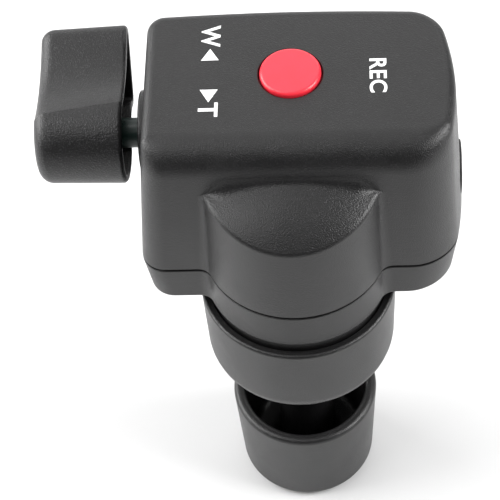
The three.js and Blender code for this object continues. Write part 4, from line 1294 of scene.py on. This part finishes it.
def add_ribs(shape, span, ribs, size, side, sunk):
    """Ribs along X on the upper or lower side of a strip; size and sunk are shares of their pitch."""
    for number in range(ribs):
        pitch = 2 * span.y / ribs
        rib = bmesh.new()
        bmesh.ops.create_cone(rib, cap_ends=True, segments=12, radius1=pitch * size, radius2=pitch * size,
                              depth=2 * span.x - RIB_END)
        spot = (0, -span.y + pitch * (number + 0.5), side * (span.z - pitch * sunk))
        add_to(shape, move(rib, spot, ALONG_X))


class REMOTE_OT_saddle_pad(bpy.types.Operator):
    """Model the ribbed pad in the housing's saddle"""

    bl_idname = "remote.saddle_pad"
    bl_label = "Saddle pad"

    THICK = 0.0012
    ROUND = 0.0001
    MIDDLE_GAP = 0.00005
    RIBS = 5
    RIB_SHARE = 0.2
    RIB_SUNK_SHARE = 0.08

    def execute(self, context):
        low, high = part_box("saddle_pad")
        shape = bmesh.new()
        half = (high.y - low.y) / 2
        lean = math.atan((high.z - low.z - self.THICK) / half)
        for side in (-1, 1):
            span = Vector(((high.x - low.x) / 2, half / math.cos(lean) / 2 - self.MIDDLE_GAP,
                           self.THICK * math.cos(lean) / 2))
            strip = box_shape(-span, span, self.ROUND)
            add_ribs(strip, span, self.RIBS, self.RIB_SHARE, -1, self.RIB_SUNK_SHARE)
            middle = Vector((0, side * half / 2, (low.z + high.z) / 2))
            add_to(shape, move(strip, middle, Matrix.Rotation(-side * lean, 4, "X")))
        finish(as_object(shape, "saddle_grip"), "housing", FINISHES["rubber"], ["saddle_pad"])
        return {"FINISHED"}


class REMOTE_OT_clamp_knob(bpy.types.Operator):
    """Model the hollow clamp knob with its hub and the seat of its insert"""

    bl_idname = "remote.clamp_knob"
    bl_label = "Clamp knob"

    FOOT_RADIUS = 0.0149
    RIM_RADIUS = 0.0161
    HEIGHT = 0.0258
    FOOT_ROUND = 0.0026
    WALL = 0.0026
    LIP_ROUND = 0.0012
    FLOOR = 0.006
    HUB_RADIUS = 0.0061
    HUB_ROOT = 0.0024
    INSERT_RADIUS = 0.0044
    BORE = 0.0033
    BORE_TOP = 0.019
    HUB_ROUND = 0.0006
    INSERT_ROUND = 0.0002
    INSERT_GAP = 0.0002

    def execute(self, context):
        hub_top = up(KNOB_HIGH.z)
        insert_low = up(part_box("knob_insert")[0].z) - self.INSERT_GAP
        knob = turned([
            (0, 0, 0), (self.FOOT_RADIUS, 0, self.FOOT_ROUND), (self.RIM_RADIUS, self.HEIGHT, self.LIP_ROUND),
            (self.RIM_RADIUS - self.WALL, self.HEIGHT, self.LIP_ROUND),
            (self.FOOT_RADIUS - self.WALL, self.FLOOR, self.HUB_ROOT),
            (self.HUB_RADIUS, self.FLOOR, self.HUB_ROOT), (self.HUB_RADIUS, hub_top, self.HUB_ROUND),
            (self.INSERT_RADIUS, hub_top, self.INSERT_ROUND), (self.INSERT_RADIUS, insert_low, 0),
            (self.BORE, insert_low, 0), (self.BORE, self.BORE_TOP, 0), (0, self.BORE_TOP, 0),
        ], 128, round_steps=8)
        finish(as_object(move(knob, FOOT), "turning_knob"), "screw_knob",
               FINISHES["cover"], ["clamp_knob"])
        return {"FINISHED"}


class REMOTE_OT_screws(bpy.types.Operator):
    """Model the four housing screws with cross recesses"""

    bl_idname = "remote.screws"
    bl_label = "Housing screws"

    HEAD = 0.0025
    HEAD_HEIGHT = 0.0019
    SHANK = 0.0014
    SLOT = 0.0007
    SLOT_DEPTH = 0.0011
    SLOT_SHARE = 0.62
    SLOT_OVERRUN = 0.001
    HEAD_ROUND = 0.0009
    HEAD_EDGE = 0.0001
    TURN = 25

    def execute(self, context):
        for number in range(1, 5):
            node = f"housing_screw_{number}"
            low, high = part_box(node)
            tip = high.z - low.z
            shape = turned([
                (0, 0, 0), (self.HEAD, 0, self.HEAD_ROUND), (self.HEAD, self.HEAD_HEIGHT, self.HEAD_EDGE),
                (self.SHANK, self.HEAD_HEIGHT, 0), (self.SHANK, tip - self.SHANK, 0), (0, tip, 0),
            ], 40)
            screw = as_object(shape, node.replace("housing", "cover"))
            turn = Matrix.Rotation(math.radians(self.TURN * number), 4, "Z")
            reach, half = self.HEAD * self.SLOT_SHARE, self.SLOT / 2
            slots = []
            for x, y in ((reach, half), (half, reach)):
                tool = box_shape(Vector((-x, -y, -self.SLOT_OVERRUN)), Vector((x, y, self.SLOT_DEPTH)))
                slots.append(("DIFFERENCE", move(tool, Vector((0, 0, 0)), turn)))
            carve(screw, slots)
            screw.data.transform(Matrix.Translation(((low.x + high.x) / 2, (low.y + high.y) / 2, low.z)))
            finish(screw, "housing", FINISHES["steel"], [node])
        return {"FINISHED"}


class REMOTE_OT_marks(bpy.types.Operator):
    """Print the letters and triangles on the top"""

    bl_idname = "remote.marks"
    bl_label = "Printed marks"

    PRINT_THICK = 0.00006
    STROKE_OFFSET = 0.018
    LETTER_SPACING = 1.06
    WORDS = (
        ("mark_wide", "W", 0.0057, 0.0038, (-0.0156, 0.02565)),
        ("mark_tele", "T", 0.0036, 0.0038, (-0.0157, 0.0066)),
        ("mark_record", "REC", 0.0087, 0.0034, (0.0173, 0.01435)),
    )
    TRIANGLES = (("mark_left", 0.0223, 0.0193), ("mark_right", 0.0085, 0.0117))
    TRIANGLE_LEFT = -0.0174
    TRIANGLE_RIGHT = -0.0139

    def execute(self, context):
        for name, words, width, height, (x, y) in self.WORDS:
            self.word(name, words, width, height, x, y)
        for name, apex, base in self.TRIANGLES:
            self.triangle(name, apex, base)
        return {"FINISHED"}

    def printed(self, thing):
        finish(thing, "housing", FINISHES["print"])

    def word(self, name, words, width, height, x, y):
        """A word that reads from back to front, fitted to its printed size."""
        text = bpy.data.curves.new(name, "FONT")
        text.body = words
        text.align_x = "CENTER"
        text.align_y = "CENTER"
        text.size = 1
        text.offset = self.STROKE_OFFSET
        text.space_character = self.LETTER_SPACING
        holder = add_object(name + "_text", text)
        mesh = as_made(holder)
        bpy.data.objects.remove(holder)
        shape = bmesh.new()
        shape.from_mesh(mesh)
        bpy.data.meshes.remove(mesh)
        tidy(shape, 1e-6)
        low = Vector([min(vert.co[k] for vert in shape.verts) for k in range(3)])
        high = Vector([max(vert.co[k] for vert in shape.verts) for k in range(3)])
        bmesh.ops.translate(shape, vec=-(low + high) / 2, verts=shape.verts[:])
        scale = (width / (high.x - low.x), height / (high.y - low.y), 1)
        bmesh.ops.scale(shape, vec=scale, verts=shape.verts[:])
        self.thicken(shape)
        move(shape, place(x, y, TOP), Matrix.Rotation(-math.pi / 2, 4, "Z"))
        self.printed(as_object(shape, name))

    def thicken(self, shape):
        """Give flat print its thickness, half of it sunk in the cover."""
        draw_out(shape, shape.faces[:], (0, 0, self.PRINT_THICK))
        bmesh.ops.translate(shape, vec=(0, 0, -self.PRINT_THICK / 2), verts=shape.verts[:])
        bmesh.ops.recalc_face_normals(shape, faces=shape.faces[:])

    def triangle(self, name, apex, base):
        shape = bmesh.new()
        middle = (self.TRIANGLE_LEFT + self.TRIANGLE_RIGHT) / 2
        corners = [(middle, apex), (self.TRIANGLE_LEFT, base), (self.TRIANGLE_RIGHT, base)]
        shape.faces.new([shape.verts.new(place(x, y, TOP)) for x, y in corners])
        self.thicken(shape)
        self.printed(as_object(shape, name))


class REMOTE_OT_inner_finishes(bpy.types.Operator):
    """Give the pieces inside the housing and the clamp their finishes"""

    bl_idname = "remote.inner_finishes"
    bl_label = "Finishes of inner pieces"

    NODES = {
        "board": ("circuit_board", "sensor_board"),
        "dull": ("switch_body", "switch_plunger", "cable_socket", "position_sensor", "spring_cam"),
        "steel": ("return_spring", "clamp_stud", "thrust_washer", "board_screw_1", "board_screw_2"),
        "brass": ("knob_insert",),
    }

    def execute(self, context):
        for material, nodes in self.NODES.items():
            for node in nodes:
                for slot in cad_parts[node].material_slots:
                    slot.material = FINISHES[material]
        return {"FINISHED"}


# Stage


class REMOTE_OT_stage(bpy.types.Operator):
    """Set the floor, the lights and the camera"""

    bl_idname = "remote.stage"
    bl_label = "Stage"

    FLOOR_HALF = 3.0
    FLOOR_GAP = 0.0002
    AIM = (0, 0.01, 0.08)
    FILM_WIDTH = 36
    CLIP_START = 0.01
    LIGHTS = (
        # name, place right of, behind and above the object, width, height, radiance
        ("back", (0, 0.6, 0.8), 1.3, 0.8, 1.15),
        ("back_low", (0, 0.9, 0.3), 1.4, 0.4, 2.2),
        ("ceiling", (0, -0.3, 0.85), 0.9, 0.6, 0.55),
        ("side_right", (0.6, -0.1, 0.38), 0.4, 0.4, 13.0),
        ("side_left", (-0.62, 0.1, 0.28), 0.7, 0.45, 7.5),
        ("left_high", (-0.42, -0.2, 0.66), 0.4, 0.4, 4.0),
        ("above", (-0.12, 0.16, 0.95), 0.35, 0.35, 2.0),
    )
    WORLD_STRENGTH = 0.15

    def execute(self, context):
        shape = bmesh.new()
        bmesh.ops.create_grid(shape, x_segments=1, y_segments=1, size=self.FLOOR_HALF)
        bmesh.ops.translate(shape, vec=(0, 0, FOOT.z - self.FLOOR_GAP), verts=shape.verts[:])
        floor = as_object(shape, "floor")
        floor.data.materials.append(FINISHES["floor"])
        world = bpy.data.worlds.new("studio")
        world.use_nodes = True
        background = world.node_tree.nodes["Background"]
        background.inputs["Color"].default_value = (1, 1, 1, 1)
        background.inputs["Strength"].default_value = self.WORLD_STRENGTH
        context.scene.world = world
        context.scene.view_settings.view_transform = "Standard"
        target = place(*self.AIM)
        for name, away, width, height, radiance in self.LIGHTS:
            self.light(name, target, Vector(away), width, height, radiance)
        self.camera(context)
        return {"FINISHED"}

    def light(self, name, target, away, width, height, radiance):
        """A soft box that faces the object."""
        lamp = bpy.data.lights.new(name, "AREA")
        lamp.shape = "RECTANGLE"
        lamp.size = width
        lamp.size_y = height
        lamp.energy = radiance * math.pi * width * height
        holder = add_object(name, lamp)
        holder.location = target + away
        holder.rotation_euler = away.to_track_quat("Z", "Y").to_euler()

    def camera(self, context):
        s = sizes("remote_stage")
        along = math.cos(s.elevation)
        forward = Vector((-math.sin(s.azimuth) * along, math.cos(s.azimuth) * along, -math.sin(s.elevation)))
        level = Vector((math.cos(s.azimuth), math.sin(s.azimuth), 0))
        raised = level.cross(forward)
        right = level * math.cos(s.roll) + raised * math.sin(s.roll)
        upward = raised * math.cos(s.roll) - level * math.sin(s.roll)
        lens = bpy.data.cameras.new("camera")
        lens.lens = s.lens
        lens.sensor_width = self.FILM_WIDTH
        lens.clip_start = self.CLIP_START
        camera = add_object("camera", lens)
        matrix = Matrix((right, upward, -forward)).transposed().to_4x4()
        matrix.translation = place(s.target_x, 0, s.target_up) - forward * s.distance
        camera.matrix_world = matrix
        context.scene.camera = camera


class REMOTE_PT_panel(bpy.types.Panel):
    """Lists the sizes and the steps in the sidebar"""

    bl_idname = "REMOTE_PT_panel"
    bl_label = "Zoom remote"
    bl_space_type = "VIEW_3D"
    bl_region_type = "UI"
    bl_category = "Remote"

    def draw(self, context):
        for step in STEPS:
            self.layout.operator(step.bl_idname)
        for name in GROUPS:
            group = getattr(context.scene, name)
            for key in group.__annotations__:
                self.layout.prop(group, key)


GROUPS = {
    "remote_housing": HousingSizes,
    "remote_boss": BossSizes,
    "remote_colours": FinishColours,
    "remote_stage": StageSizes,
}
STEPS = (
    REMOTE_OT_stage,
    REMOTE_OT_upper_cover,
    REMOTE_OT_lower_cover,
    REMOTE_OT_record_button,
    REMOTE_OT_thumb_knob,
    REMOTE_OT_shaft_fittings,
    REMOTE_OT_socket_bezel,
    REMOTE_OT_jaw,
    REMOTE_OT_saddle_pad,
    REMOTE_OT_clamp_knob,
    REMOTE_OT_screws,
    REMOTE_OT_marks,
    REMOTE_OT_inner_finishes,
)


def register():
    for group in GROUPS.values():
        bpy.utils.register_class(group)
    for name, group in GROUPS.items():
        setattr(bpy.types.Scene, name, bpy.props.PointerProperty(type=group))
    for step in STEPS:
        bpy.utils.register_class(step)
    bpy.utils.register_class(REMOTE_PT_panel)


def unregister():
    bpy.utils.unregister_class(REMOTE_PT_panel)
    for step in reversed(STEPS):
        bpy.utils.unregister_class(step)
    for name in reversed(GROUPS):
        delattr(bpy.types.Scene, name)
    for group in reversed(GROUPS.values()):
        bpy.utils.unregister_class(group)


def main():
    register()
    make_finishes()
    for step in STEPS:
        getattr(bpy.ops.remote, step.bl_idname.split(".")[1])()


if __name__ == "__main__":
    main()
